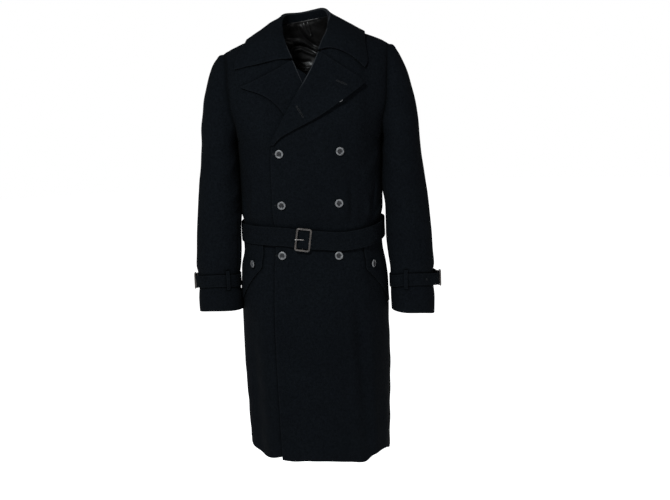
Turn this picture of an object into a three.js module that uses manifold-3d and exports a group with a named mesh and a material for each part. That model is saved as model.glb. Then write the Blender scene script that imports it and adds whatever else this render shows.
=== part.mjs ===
// A double-breasted wool trench coat with a buckled belt, in its worn shape and hollow.
// Millimetres, +Z up. The front faces -Y and the wearer's left side is +X.
// The origin is at the base of the neck, midway between the neck ends of the shoulder seams.

import * as THREE from 'three';
import { mergeVertices } from 'three/addons/utils/BufferGeometryUtils.js';
import Module from 'manifold-3d';

// ---------------------------------------------------------------- driving sizes

const CLOTH = 2.4;            // wall of the wool cloth
const STRAP = 2.0;            // wall of the cuff straps
const SATIN = 1.0;            // wall of the lining
const LINING_GAP = 3.8;       // room between the back and its lining
const SEAM = 0.3;             // gap between two pieces that are sewn together
const ROUND = 2.4;            // exponent of the body's rounded sections
const SLEEVE_ROUND = 2.2;     // exponent of the sleeve's sections
const SHOULDER_ROUND = 2.0;   // exponent of the turn from the chest over the shoulder
const CHEST = -200;           // height where the chest starts to turn over the shoulder
const UNDERARM = -284;
const SHOULDER = { x: 203, z: -65 };     // outer end of the shoulder seam
const NECK = { x: 64, z: -8, back: 66, nape: -3 };   // neck end of the seam, depth and height of the nape
const LAYER = 4.0;            // the upper front lies this far outside the lower one
const LAPEL_LAYER = 7.6;      // and this far where the lower lapel lies between them
const FOLD_GAP = 2.2;         // from the edge of a front or the back to the collar's stand
const BEND = 2.5;             // inner radius of the soft fold of collar and lapels
const UPPER_EDGE = -27;       // angle of the upper front's free edge
const LOWER_EDGE = 30;        // angle of the lower front's free edge, under the upper one
const BELT_WIDTH = 45;
const BUTTON = { radius: 11, thick: 4 };

// Half width, front depth and back depth of the body at each height.
const BODY = [
  { z: -200, half: 208, front: 120, back: 116 },
  { z: -240, half: 190.5, front: 125, back: 119 },
  { z: -284, half: 176.5, front: 128, back: 120 },
  { z: -340, half: 176, front: 128, back: 119 },
  { z: -400, half: 176, front: 127.5, back: 116 },
  { z: -440, half: 176, front: 127, back: 114 },
  { z: -462, half: 174.5, front: 124, back: 111 },
  { z: -480, half: 170, front: 117, back: 104.5 },
  { z: -548, half: 170, front: 117, back: 104.5 },
  { z: -575, half: 176, front: 122, back: 113 },
  { z: -620, half: 180.5, front: 126, back: 121 },
  { z: -670, half: 183, front: 129, back: 127 },
  { z: -740, half: 183.5, front: 131, back: 131 },
  { z: -810, half: 183, front: 131, back: 131 },
  { z: -880, half: 182, front: 131, back: 131 },
  { z: -945, half: 179, front: 130.5, back: 130 },
  { z: -1000, half: 178, front: 130, back: 129 },
  { z: -1040, half: 176.5, front: 129.5, back: 128 },
  { z: -1070, half: 175.5, front: 129, back: 127 },
];
const HEM_STRETCH = { from: -945, to: -1070 };   // the rows between these follow the hem

// Height of the hem round the body: 0 is the front, 90 the wearer's left side.
const HEM = [
  { angle: -180, z: -1058 },
  { angle: -130, z: -1048 },
  { angle: -90, z: -1040 },
  { angle: -66, z: -1055 },
  { angle: -45, z: -1064 },
  { angle: -27, z: -1063 },
  { angle: 0, z: -1068 },
  { angle: 38, z: -1081 },
  { angle: 50, z: -1070 },
  { angle: 66, z: -1063 },
  { angle: 90, z: -1072 },
  { angle: 135, z: -1067 },
  { angle: 180, z: -1058 },
];

// How much higher the shoulders and the neck lie at each place than on an even form.
const LEAN = [
  { x: -200, rise: -4 },
  { x: -150, rise: -3 },
  { x: -105, rise: -2 },
  { x: -76, rise: 3 },
  { x: -50, rise: 1 },
  { x: -15, rise: -3 },
  { x: 15, rise: 1 },
  { x: 43, rise: 10 },
  { x: 73, rise: 9 },
  { x: 102, rise: 7.5 },
  { x: 132, rise: 7.5 },
  { x: 161, rise: 9 },
  { x: 200, rise: 9 },
];

// Armhole, from the shoulder seam down to the underarm: depths before and behind the seam.
const ARMHOLE = [
  { z: -65, front: 0, back: 0 },
  { z: -74, front: 20, back: 18 },
  { z: -100, front: 37, back: 33 },
  { z: -145, front: 53, back: 48 },
  { z: -195, front: 62, back: 57 },
  { z: -235, front: 58, back: 54 },
  { z: -262, front: 43, back: 41 },
  { z: -279, front: 21, back: 20 },
  { z: -284, front: 0, back: 0 },
];

// Where each front ends and its lapel turns back, from the neck down to the first button.
const ROLL = [
  { z: -8, upper: 61, lower: -62 },
  { z: -28, upper: 60, lower: -61 },
  { z: -50, upper: 53, lower: -55 },
  { z: -70, upper: 42.5, lower: -47 },
  { z: -90, upper: 31.5, lower: -37 },
  { z: -110, upper: 18.5, lower: -27.5 },
  { z: -130, upper: 5.5, lower: -18.5 },
  { z: -150, upper: -8, lower: -9 },
  { z: -175, upper: -24.5, lower: 5 },
  { z: -200, upper: -39.5, lower: 21 },
  { z: -225, upper: -54, lower: 40 },
  { z: -250, upper: -68, lower: 58 },
  { z: -284, upper: -87, lower: 88 },
  { z: -300, upper: -91, lower: 96 },
];

// Soft folds of the body: angle and half width in degrees, top and bottom, depth out (+) or in (-).
const FOLDS = [
  { angle: 27, half: 9, top: -600, bottom: -1100, depth: -6 },
  { angle: 42, half: 11, top: -640, bottom: -1100, depth: 5 },
  { angle: 62, half: 9, top: -720, bottom: -1100, depth: -4 },
  { angle: -38, half: 10, top: -620, bottom: -1100, depth: 5 },
  { angle: -56, half: 9, top: -760, bottom: -1100, depth: -5 },
  { angle: -6, half: 12, top: -680, bottom: -1100, depth: 3 },
  { angle: 122, half: 11, top: -590, bottom: -1100, depth: 5 },
  { angle: 141, half: 9, top: -640, bottom: -1100, depth: -6 },
  { angle: 163, half: 11, top: -600, bottom: -1100, depth: 5 },
  { angle: 196, half: 10, top: -620, bottom: -1100, depth: -6 },
  { angle: 216, half: 12, top: -590, bottom: -1100, depth: 5 },
  { angle: 238, half: 9, top: -690, bottom: -1100, depth: -5 },
  { angle: 33, half: 6, top: -375, bottom: -478, depth: -4 },
  { angle: 46, half: 7, top: -350, bottom: -478, depth: 4 },
  { angle: -50, half: 7, top: -370, bottom: -478, depth: 4 },
  { angle: 140, half: 8, top: -330, bottom: -478, depth: 4 },
  { angle: 158, half: 7, top: -370, bottom: -478, depth: -4 },
  { angle: 205, half: 8, top: -350, bottom: -478, depth: 4 },
  { angle: 224, half: 7, top: -340, bottom: -478, depth: -3 },
];

// Rows of the grids that the body pieces share below the underarm.
const BODY_ROWS = [
  -284, -330, -380, -425, -460, -480, -514, -548, -572, -605, -650, -710, -780, -850, -910,
  -960, -1005, -1042, -1070,
];

// Sleeves: the inner and outer sides and the front and back at each height.
const SLEEVE_LEFT = [
  { z: -310, inner: 176.8, outer: 272, front: -78, back: 56 },
  { z: -345, inner: 176.2, outer: 276, front: -86, back: 46 },
  { z: -380, inner: 175.8, outer: 279, front: -91, back: 39 },
  { z: -405, inner: 176.6, outer: 282, front: -92, back: 36 },
  { z: -432, inner: 179.6, outer: 285, front: -91, back: 32 },
  { z: -480, inner: 180.5, outer: 289, front: -89, back: 28 },
  { z: -530, inner: 180.3, outer: 293, front: -88, back: 24 },
  { z: -570, inner: 184, outer: 295.5, front: -87, back: 21 },
  { z: -598, inner: 187.5, outer: 297.5, front: -88, back: 18 },
  { z: -613, inner: 188.5, outer: 294.5, front: -84, back: 15 },
  { z: -645, inner: 188.5, outer: 293.5, front: -83, back: 14 },
  { z: -668, inner: 188, outer: 296.5, front: -87, back: 17 },
  { z: -688, inner: 188.2, outer: 296.5, front: -88, back: 17 },
  { z: -713, inner: 189, outer: 295.5, front: -88, back: 16 },
];
const SLEEVE_RIGHT = [
  { z: -310, inner: 176.8, outer: 266, front: -78, back: 56 },
  { z: -345, inner: 176.2, outer: 269, front: -86, back: 46 },
  { z: -380, inner: 175.8, outer: 273, front: -91, back: 39 },
  { z: -430, inner: 175.8, outer: 278, front: -91, back: 33 },
  { z: -480, inner: 176.4, outer: 283, front: -89, back: 28 },
  { z: -530, inner: 178, outer: 288.5, front: -88, back: 24 },
  { z: -560, inner: 180.5, outer: 291.5, front: -87, back: 21 },
  { z: -584, inner: 183.8, outer: 293.5, front: -88, back: 18 },
  { z: -600, inner: 187.2, outer: 290.5, front: -84, back: 15 },
  { z: -631, inner: 187.4, outer: 288.5, front: -83, back: 14 },
  { z: -653, inner: 185.5, outer: 291, front: -87, back: 17 },
  { z: -674, inner: 185, outer: 291.5, front: -88, back: 17 },
  { z: -698, inner: 186, outer: 291, front: -88, back: 16 },
];
// How much lower the cuffs and their straps lie on the outer and the inner side than in front.
const CUFF_LEFT = {
  side: 1, table: SLEEVE_LEFT, top: -614, bottom: -644, loop: 106, tail: 13, bulge: 9,
  strapOutside: 7, strapInside: 9, hemOutside: 9, hemInside: -4,
};
const CUFF_RIGHT = {
  side: -1, table: SLEEVE_RIGHT, top: -601, bottom: -631, loop: 115, tail: 1, bulge: 0,
  strapOutside: 6, strapInside: 6, hemOutside: 9, hemInside: 1,
};

// Middle height of the belt and how far its inner face stands off the body's sections.
const BELT = [
  { angle: -180, z: -499, off: 2 },
  { angle: -120, z: -502, off: 2.4 },
  { angle: -90, z: -504, off: 4 },
  { angle: -50, z: -505, off: 4.6 },
  { angle: -30, z: -506, off: 5.4 },
  { angle: -15, z: -508.5, off: 5.4 },
  { angle: 0, z: -516, off: 5.2 },
  { angle: 20, z: -522.5, off: 5.2 },
  { angle: 50, z: -516, off: 5.4 },
  { angle: 75, z: -508, off: 6 },
  { angle: 95, z: -504, off: 7.6 },
  { angle: 120, z: -502, off: 3.4 },
  { angle: 180, z: -499, off: 2 },
];
const BUCKLE = {
  x: -22.5, z: -514.5, wide: 40, tall: 56, bar: 5.2, thick: 4.2, tilt: -8, lift: 11, low: 4.6,
};

// Buttons of the fronts: the top one shows under the edge of the upper lapel.
const BUTTONS = [
  { name: 'button_top_left', x: 75, z: -180, lift: 0.4 },
  { name: 'button_upper_left', x: 71.4, z: -304.5 },
  { name: 'button_middle_left', x: 65.5, z: -428.5, lift: 0.4 },
  { name: 'button_lower_left', x: 61.2, z: -558.5 },
  { name: 'button_upper_right', x: -70.1, z: -306.5 },
  { name: 'button_middle_right', x: -69.5, z: -429.5 },
  { name: 'button_lower_right', x: -73, z: -554, lift: 1.5 },
];

// Pocket flaps: the free edge and hinge as angles, the heights of the edge's corner and the point.
const FLAP_LEFT = { side: 1, edge: 41, hinge: 80, corner: -596, point: -690 };
const FLAP_RIGHT = { side: -1, edge: 41, hinge: 80, corner: -584, point: -684 };
const FLAP_BUTTON_LEFT = { angle: 49.5, z: -584 };
const FLAP_BUTTON_RIGHT = { angle: 51.5, z: -576 };

// ---------------------------------------------------------------- materials

function cloth(colour, roughness, metalness) {
  return new THREE.MeshStandardMaterial({ color: colour, roughness, metalness });
}

const WOOL = cloth(0x15181c, 0.95, 0);
const SATIN_BLACK = cloth(0x0b0c0e, 0.35, 0);
const HORN = cloth(0x2b2d30, 0.25, 0);
const LEATHER = cloth(0x2a1f1a, 0.5, 0);

// ---------------------------------------------------------------- small helpers

function point(x, y, z) {
  return new THREE.Vector3(x, y, z);
}

function mix(a, b, share) {
  return a + (b - a) * share;
}

function smooth(from, to, value) {
  const share = Math.min(1, Math.max(0, (value - from) / (to - from)));
  return share * share * (3 - 2 * share);
}

function radians(degrees) {
  return degrees * Math.PI / 180;
}

function signedPower(value, power) {
  return Math.sign(value) * Math.pow(Math.abs(value), power);
}

// Reads one column of a table at any value of its key, as a smooth curve through the rows.
function read(table, key, value, column) {
  const last = table.length - 1;
  const way = Math.sign(table[last][key] - table[0][key]);
  if ((value - table[0][key]) * way <= 0) return table[0][column];
  if ((value - table[last][key]) * way >= 0) return table[last][column];
  let row = 0;
  while ((value - table[row + 1][key]) * way > 0) row += 1;
  const slope = (a) => (table[a + 1][column] - table[a][column]) / (table[a + 1][key] - table[a][key]);
  const here = slope(row);
  const blend = (one, other) => (one * other <= 0 ? 0 : (one + other) / 2);
  const before = row > 0 ? blend(slope(row - 1), here) : here;
  const after = row + 1 < last ? blend(here, slope(row + 1)) : here;
  const width = table[row + 1][key] - table[row][key];
  const s = (value - table[row][key]) / width;
  const start = table[row][column];
  const end = table[row + 1][column];
  return start * (1 + 2 * s) * (1 - s) ** 2 + before * width * s * (1 - s) ** 2
    + end * s * s * (3 - 2 * s) + after * width * s * s * (s - 1);
}

// Points at equal distances along a curve given as a function of 0 to 1.
function evenly(curve, count) {
  const fine = [];
  const length = [0];
  for (let i = 0; i <= 240; i += 1) fine.push(curve(i / 240));
  for (let i = 1; i <= 240; i += 1) length.push(length[i - 1] + fine[i].distanceTo(fine[i - 1]));
  const points = [];
  let at = 0;
  for (let i = 0; i <= count; i += 1) {
    const goal = length[240] * i / count;
    while (at < 239 && length[at + 1] < goal) at += 1;
    const share = (goal - length[at]) / (length[at + 1] - length[at]);
    points.push(fine[at].clone().lerp(fine[at + 1], share));
  }
  return points;
}

// ---------------------------------------------------------------- solids from grids of points

// Unit normals of a grid of points, from the directions to the neighbouring points.
function gridNormals(grid, closed) {
  const rows = grid.length;
  const cols = grid[0].length;
  return grid.map((row, i) => row.map((_, j) => {
    const up = grid[Math.min(i + 1, rows - 1)][j].clone().sub(grid[Math.max(i - 1, 0)][j]);
    const next = closed ? (j + 1) % cols : Math.min(j + 1, cols - 1);
    const last = closed ? (j + cols - 1) % cols : Math.max(j - 1, 0);
    const along = row[next].clone().sub(row[last]);
    return along.cross(up).normalize();
  }));
}

// The same grid moved along its normals.
function moved(grid, distance, closed = false) {
  const normals = gridNormals(grid, closed);
  return grid.map((row, i) => row.map((p, j) => p.clone().addScaledVector(normals[i][j], distance)));
}

function volumeOf(positions, index) {
  const corner = (i) => point(positions[3 * i], positions[3 * i + 1], positions[3 * i + 2]);
  let sum = 0;
  for (let t = 0; t < index.length; t += 3) {
    sum += corner(index[t]).dot(corner(index[t + 1]).cross(corner(index[t + 2])));
  }
  return sum;
}

// One closed solid between an outer and an inner grid, with a rim along the open edges.
function between(outer, inner, closed = false) {
  const rows = outer.length;
  const cols = outer[0].length;
  const positions = [];
  const index = [];
  [outer, inner].forEach((grid) => grid.forEach((row) => row.forEach((p) => {
    positions.push(p.x, p.y, p.z + leaning(p.x, p.z));
  })));
  const id = (layer, i, j) => layer * rows * cols + i * cols + (j % cols);
  const quad = (a, b, c, d) => index.push(a, b, c, a, c, d);
  const lastCol = closed ? cols : cols - 1;
  for (let i = 0; i < rows - 1; i += 1) {
    for (let j = 0; j < lastCol; j += 1) {
      quad(id(0, i, j), id(0, i, j + 1), id(0, i + 1, j + 1), id(0, i + 1, j));
      quad(id(1, i, j), id(1, i + 1, j), id(1, i + 1, j + 1), id(1, i, j + 1));
    }
  }
  for (let j = 0; j < lastCol; j += 1) {
    quad(id(1, 0, j), id(1, 0, j + 1), id(0, 0, j + 1), id(0, 0, j));
    quad(id(0, rows - 1, j), id(0, rows - 1, j + 1), id(1, rows - 1, j + 1), id(1, rows - 1, j));
  }
  if (!closed) {
    for (let i = 0; i < rows - 1; i += 1) {
      quad(id(0, i, 0), id(0, i + 1, 0), id(1, i + 1, 0), id(1, i, 0));
      quad(id(1, i, cols - 1), id(1, i + 1, cols - 1), id(0, i + 1, cols - 1), id(0, i, cols - 1));
    }
  }
  if (volumeOf(positions, index) < 0) {
    for (let t = 0; t < index.length; t += 3) [index[t], index[t + 1]] = [index[t + 1], index[t]];
  }
  const geometry = new THREE.BufferGeometry();
  geometry.setAttribute('position', new THREE.Float32BufferAttribute(positions, 3));
  geometry.setIndex(index);
  geometry.computeVertexNormals();
  return geometry;
}

// How far a place is raised by the uneven shoulders.
function leaning(x, z) {
  return read(LEAN, 'x', x, 'rise') * smooth(-140, -50, z);
}

// ---------------------------------------------------------------- the body's surface

function foldDepth(angle, z) {
  let sum = 0;
  for (const fold of FOLDS) {
    let turn = angle - fold.angle;
    turn -= 360 * Math.round(turn / 360);
    const along = smooth(fold.top, fold.top - 90, z) * (1 - smooth(fold.bottom + 30, fold.bottom, z));
    sum += fold.depth * along * Math.exp(-((turn / fold.half) ** 2));
  }
  return sum;
}

// A point of the body's section at an angle round it, off by a distance.
function ring(angle, z, off = 0) {
  const turn = radians(angle);
  const out = off + foldDepth(angle, z);
  const deep = Math.abs(angle - 360 * Math.round(angle / 360)) <= 90 ? 'front' : 'back';
  const x = (read(BODY, 'z', z, 'half') + out) * signedPower(Math.sin(turn), 2 / ROUND);
  const y = -(read(BODY, 'z', z, deep) + out) * signedPower(Math.cos(turn), 2 / ROUND);
  return point(x, y, z);
}

function hemmed(p, angle) {
  if (p.z > HEM_STRETCH.from) return p;
  const hem = read(HEM, 'angle', angle - 360 * Math.round(angle / 360), 'z');
  const share = (p.z - HEM_STRETCH.from) / (HEM_STRETCH.to - HEM_STRETCH.from);
  p.z = mix(HEM_STRETCH.from, hem, share);
  return p;
}

function shoulderLine(x) {
  return mix(NECK.z, SHOULDER.z, (Math.abs(x) - NECK.x) / (SHOULDER.x - NECK.x));
}

function sectionDepth(x, z, column) {
  const low = Math.min(z, CHEST);
  const share = Math.abs(x) / read(BODY, 'z', low, 'half');
  const full = read(BODY, 'z', low, column);
  return full * Math.pow(Math.max(0, 1 - Math.pow(share, ROUND)), 1 / ROUND);
}

function napeLine(x) {
  return Math.abs(x) >= NECK.x ? shoulderLine(x) : mix(NECK.nape, NECK.z, (x / NECK.x) ** 2);
}

function frontTop(x) {
  const inside = Math.max(0, 1 - (x / NECK.x) ** 2);
  return Math.abs(x) >= NECK.x ? shoulderLine(x) : NECK.z - 30 * inside;
}

function backTop(x) {
  if (Math.abs(x) >= NECK.x) return shoulderLine(x);
  const depth = NECK.back * Math.sqrt(1 - (x / NECK.x) ** 2);
  const share = 1 - Math.pow(depth / sectionDepth(x, CHEST, 'back'), SHOULDER_ROUND);
  return CHEST + (napeLine(x) - CHEST) / Math.pow(share, 1 / SHOULDER_ROUND);
}

// How much of the chest's depth is left at a height, where the surface turns over to the seam.
function overShoulder(z, top) {
  const rise = Math.min(1, (z - CHEST) / (top - CHEST));
  return Math.pow(1 - Math.pow(rise, SHOULDER_ROUND), 1 / SHOULDER_ROUND);
}

// Depth of the front or back surface at a place seen from the front.
function frontDepth(x, z) {
  const full = sectionDepth(x, z, 'front');
  if (z <= CHEST) return full;
  return full * overShoulder(z, frontTop(x));
}

function backDepth(x, z) {
  const full = sectionDepth(x, z, 'back');
  if (z <= CHEST) return full;
  return full * overShoulder(z, backTop(x));
}

function layerAt(x, z) {
  const height = z < CHEST ? mix(LAYER, LAPEL_LAYER, smooth(-300, -240, z)) : LAPEL_LAYER;
  return height * smooth(150, 112, x) * smooth(-30, -75, z);
}

// The front's outward direction, and a point lifted off the lower or upper front.
function frontNormal(x, z) {
  const slopeX = (frontDepth(x + 3, z) - frontDepth(x - 3, z)) / 6;
  const slopeZ = (frontDepth(x, z + 3) - frontDepth(x, z - 3)) / 6;
  return point(-slopeX, -1, -slopeZ).normalize();
}

function onLowerFront(x, z, lift) {
  return point(x, -frontDepth(x, z), z).addScaledVector(frontNormal(x, z), lift);
}

function onUpperFront(x, z, lift) {
  return onLowerFront(x, z, lift + layerAt(x, z));
}

// The armhole's x where the surface reaches a given depth.
function armholeWidth(depth, z, depthAt) {
  let near = 120;
  let far = 206;
  for (let i = 0; i < 40; i += 1) {
    const middle = (near + far) / 2;
    if (depthAt(middle, z) > depth) near = middle;
    else far = middle;
  }
  return far;
}

const ARMHOLE_FRONT = ARMHOLE.map((row) => point(armholeWidth(row.front, row.z, frontDepth), -row.front, row.z));
const ARMHOLE_BACK = ARMHOLE.map((row) => point(armholeWidth(row.back, row.z, backDepth), row.back, row.z));

// ---------------------------------------------------------------- fronts and back

// A front from its side seam to its free edge; side is 1 for the wearer's left.
function frontGrid(side, edgeAngle, rollColumn, layered, columns) {
  const grid = [];
  const lower = BODY_ROWS.slice(1).reverse();
  for (const z of lower) {
    const curve = (share) => {
      const angle = mix(90 * side, edgeAngle, share);
      const p = ring(angle, z, 0);
      return hemmed(ring(angle, z, layered ? layerAt(p.x, z) : 0), angle);
    };
    grid.push(evenly(curve, columns));
  }
  const last = ARMHOLE.length - 1;
  for (let i = last; i >= 0; i -= 1) {
    const hole = ARMHOLE_FRONT[i];
    const rise = (last - i) / last;
    const rollZ = mix(UNDERARM, NECK.z, rise);
    const rollX = read(ROLL, 'z', rollZ, rollColumn);
    const curve = (share) => {
      const run = share * share * (2 - share);
      const x = mix(hole.x * side, rollX, run);
      const z = mix(hole.z, rollZ, run);
      const deep = share === 0 ? -hole.y : frontDepth(x, z);
      const p = point(x, -deep, z);
      if (layered) p.addScaledVector(frontNormal(x, z), layerAt(x, z));
      return p;
    };
    grid.push(evenly(curve, columns));
  }
  return grid;
}

function backGrid(columns) {
  const grid = [];
  for (const z of BODY_ROWS.slice(1).reverse()) {
    grid.push(evenly((share) => hemmed(ring(mix(90, 270, share), z), mix(90, 270, share)), columns));
  }
  const last = ARMHOLE.length - 1;
  for (let i = last; i >= 0; i -= 1) {
    const hole = ARMHOLE_BACK[i];
    const rise = (last - i) / last;
    const middle = mix(UNDERARM, NECK.nape, rise);
    const curve = (share) => {
      const x = hole.x * Math.cos(Math.PI * share);
      const round = (x / hole.x) ** 2;
      const seam = (napeLine(x) - NECK.nape) / (napeLine(hole.x) - NECK.nape);
      const z = mix(middle, hole.z, mix(round, seam, rise ** 3));
      return point(x, i === 0 && Math.abs(x) >= NECK.x ? 0 : backDepth(x, z), z);
    };
    grid.push(evenly(curve, columns));
  }
  return grid;
}

// The wall of a body piece, kept on its own side of the side and shoulder seams.
function bodyWall(outer, front) {
  const keep = (p) => {
    p.y = front ? Math.min(p.y, -SEAM / 2) : Math.max(p.y, SEAM / 2);
    return p;
  };
  const towardAxis = (grid) => {
    const test = moved(grid, 1);
    const row = Math.floor(grid.length / 3);
    const col = Math.floor(grid[0].length / 2);
    return test[row][col].length() < grid[row][col].length() ? 1 : -1;
  };
  const inner = moved(outer, towardAxis(outer) * CLOTH);
  return between(outer.map((row) => row.map(keep)), inner.map((row) => row.map(keep)));
}

function liningBack() {
  const outer = [];
  for (let i = 0; i <= 8; i += 1) {
    const row = [];
    for (let j = 0; j <= 10; j += 1) {
      const x = mix(-104, 104, j / 10);
      const z = mix(-320, napeLine(x) - mix(12, 47, smooth(10, 88, Math.abs(x))), i / 8);
      row.push(point(x, backDepth(x, z), z));
    }
    outer.push(row);
  }
  const inward = moved(outer, 1)[3][5].y < outer[3][5].y ? 1 : -1;
  const near = CLOTH + LINING_GAP;
  return between(moved(outer, inward * near), moved(outer, inward * (near + SATIN)));
}

// ---------------------------------------------------------------- collar and lapels

// The soft fold where cloth turns back: pairs of outer and inner points round the bend.
// The cloth comes along `up`, turns over and goes on at the side of `out`.
function bendPairs(foot, up, out, radius) {
  const centre = foot.clone().addScaledVector(out, radius);
  const pairs = [];
  for (const turn of [-90, -45, 0, 45, 90]) {
    const direction = up.clone().multiplyScalar(Math.cos(radians(turn)));
    direction.addScaledVector(out, Math.sin(radians(turn)));
    pairs.push({
      outer: centre.clone().addScaledVector(direction, radius + CLOTH),
      inner: centre.clone().addScaledVector(direction, radius),
    });
  }
  return pairs;
}

// A lapel: rows from the gorge down to where it ends, given as roll and edge points.
function lapel(rows, place, rollColumn, across) {
  const outer = [];
  const inner = [];
  rows.forEach((row) => {
    const rollX = read(ROLL, 'z', row.roll, rollColumn);
    const above = read(ROLL, 'z', row.roll + 6, rollColumn);
    const below = read(ROLL, 'z', row.roll - 6, rollColumn);
    const foot = place(rollX, row.roll, 0);
    const out = frontNormal(rollX, row.roll);
    const line = place(above, row.roll + 6, 0).sub(place(below, row.roll - 6, 0)).normalize();
    const up = line.clone().cross(out).normalize();
    if (up.x * Math.sign(row.x - rollX) > 0) up.negate();
    const start = foot.addScaledVector(up, SEAM * 3);
    const pairs = bendPairs(start, up, out, row.bend);
    const first = row.bend * 2;
    for (let j = 1; j <= across; j += 1) {
      const share = j / across;
      const bow = (row.bow ?? 0) * 4 * share * (1 - share);
      const x = mix(rollX, row.x, share);
      const z = mix(row.roll, row.z, share) + bow;
      const away = Math.hypot(x - rollX, z - row.roll);
      const lift = 0.8 + (first - 0.8) * Math.exp(-((away / 20) ** 2)) + row.edge * smooth(0.35, 1, share);
      pairs.push({ outer: place(x, z, lift + CLOTH), inner: place(x, z, lift) });
    }
    outer.push(pairs.map((pair) => pair.outer));
    inner.push(pairs.map((pair) => pair.inner));
  });
  return between(outer, inner);
}

const UPPER_LAPEL = [
  { roll: -84, x: 134, z: -147, bend: 2.5, edge: 4, bow: 4 },
  { roll: -106, x: 126, z: -153, bend: 2.5, edge: 5.6 },
  { roll: -128, x: 98, z: -172.5, bend: 2.5, edge: 8 },
  { roll: -150, x: 72, z: -189, bend: 2.5, edge: 8 },
  { roll: -174, x: 44, z: -210, bend: 2.5, edge: 5.6 },
  { roll: -198, x: 16, z: -226.5, bend: 2.4, edge: 4 },
  { roll: -222, x: -18, z: -243, bend: 2.2, edge: 2.6 },
  { roll: -245, x: -48, z: -258, bend: 1.8, edge: 2 },
  { roll: -268, x: -68, z: -270, bend: 1.2, edge: 1.4 },
  { roll: -286, x: -81, z: -285, bend: 0.8, edge: 0.6 },
];
const LOWER_LAPEL = [
  { roll: -91, x: -156, z: -147.5, bend: 2.5, edge: 1.6, bow: -2 },
  { roll: -103, x: -148, z: -153, bend: 2.5, edge: 1.6 },
  { roll: -118, x: -112, z: -164.5, bend: 1.7, edge: 1.4 },
  { roll: -138, x: -86, z: -180, bend: 0.8, edge: 0.8 },
  { roll: -156, x: -66, z: -200, bend: 0.7, edge: 0.2 },
  { roll: -172, x: -52, z: -222, bend: 0.7, edge: 0 },
];

// Collar sections from the gorge to the nape. `foot` is on the neck seam, `up` and `out` turn the
// fold, `stand` is the height of the stand, and the fall passes `middle` to its outer edge.
function gorgeSection(place, rollColumn, z, middle, edge) {
  const x = read(ROLL, 'z', z, rollColumn);
  const line = place(read(ROLL, 'z', z + 5, rollColumn), z + 5, 0);
  line.sub(place(read(ROLL, 'z', z - 5, rollColumn), z - 5, 0)).normalize();
  const out = frontNormal(x, z);
  const up = line.clone().cross(out).normalize();
  if (up.x * edge.x > 0) up.negate();
  return {
    foot: place(x, z, 0).addScaledVector(up, FOLD_GAP), up, out, stand: SEAM, bend: BEND,
    middle: place(middle.x, middle.z, middle.lift), edge: place(edge.x, edge.z, edge.lift),
  };
}

function neckSection(side, angle, stand, middle, edge) {
  const lean = radians(angle);
  const turn = side * Math.sqrt(Math.max(0, 1 - (middle.aim ?? 0) ** 2));
  const out = point(turn * Math.cos(lean), (middle.aim ?? 0) * Math.cos(lean), Math.sin(lean));
  const up = point(-turn * Math.sin(lean), -(middle.aim ?? 0) * Math.sin(lean), Math.cos(lean));
  const foot = point(side * middle.footX, middle.footY, middle.footZ).addScaledVector(up, FOLD_GAP);
  return {
    foot, up, out, stand, bend: BEND,
    middle: point(side * middle.x, middle.y, middle.z), edge: point(side * edge.x, edge.y, edge.z),
  };
}

function collarSections() {
  const low = onLowerFront;
  const high = onUpperFront;
  const right = [
    gorgeSection(low, 'lower', -87, { x: -98, z: -93, lift: 5.2 }, { x: -171, z: -106, lift: 3.8 }),
    gorgeSection(low, 'lower', -62, { x: -108, z: -72, lift: 8.5 }, { x: -169, z: -84, lift: 3.6 }),
    gorgeSection(low, 'lower', -38, { x: -103, z: -48, lift: 13 }, { x: -158, z: -65, lift: 3.8 }),
  ];
  const left = [
    gorgeSection(high, 'upper', -80, { x: 84, z: -82, lift: 6 }, { x: 137, z: -114, lift: 4 }),
    gorgeSection(high, 'upper', -58, { x: 96, z: -66, lift: 7 }, { x: 145, z: -98, lift: 4 }),
    gorgeSection(high, 'upper', -38, { x: 98, z: -48, lift: 11 }, { x: 141, z: -68, lift: 4 }),
  ];
  const round = (side, wide) => [
    neckSection(side, 42, 3, {
      x: 102, y: -24, z: -17, footX: 61.5, footY: -12, footZ: -12,
    }, { x: 144 + wide, y: -24, z: -40 }),
    neckSection(side, 24, 11, {
      x: 101, y: 8, z: -9, footX: 62, footY: 8, footZ: -7, aim: 0.1,
    }, { x: 140 + wide, y: 18, z: -34.5 }),
    neckSection(side, 14, 18, {
      x: 92, y: 49, z: -17, footX: 54, footY: 34, footZ: -5, aim: 0.5,
    }, { x: 124, y: 58, z: -54 }),
    neckSection(side, 8, 21, {
      x: 60, y: 82, z: -20, footX: 34, footY: 56, footZ: -4, aim: 0.86,
    }, { x: 80, y: 88.5, z: -69 }),
  ];
  const nape = neckSection(1, 6, 22, {
    x: 0, y: 93, z: -18, footX: 0, footY: 66, footZ: -3, aim: 1,
  }, { x: 0, y: 105, z: -68 });
  return [...right, ...round(-1, 2), nape, ...round(1, 0).reverse(), ...left.reverse()];
}

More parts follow.
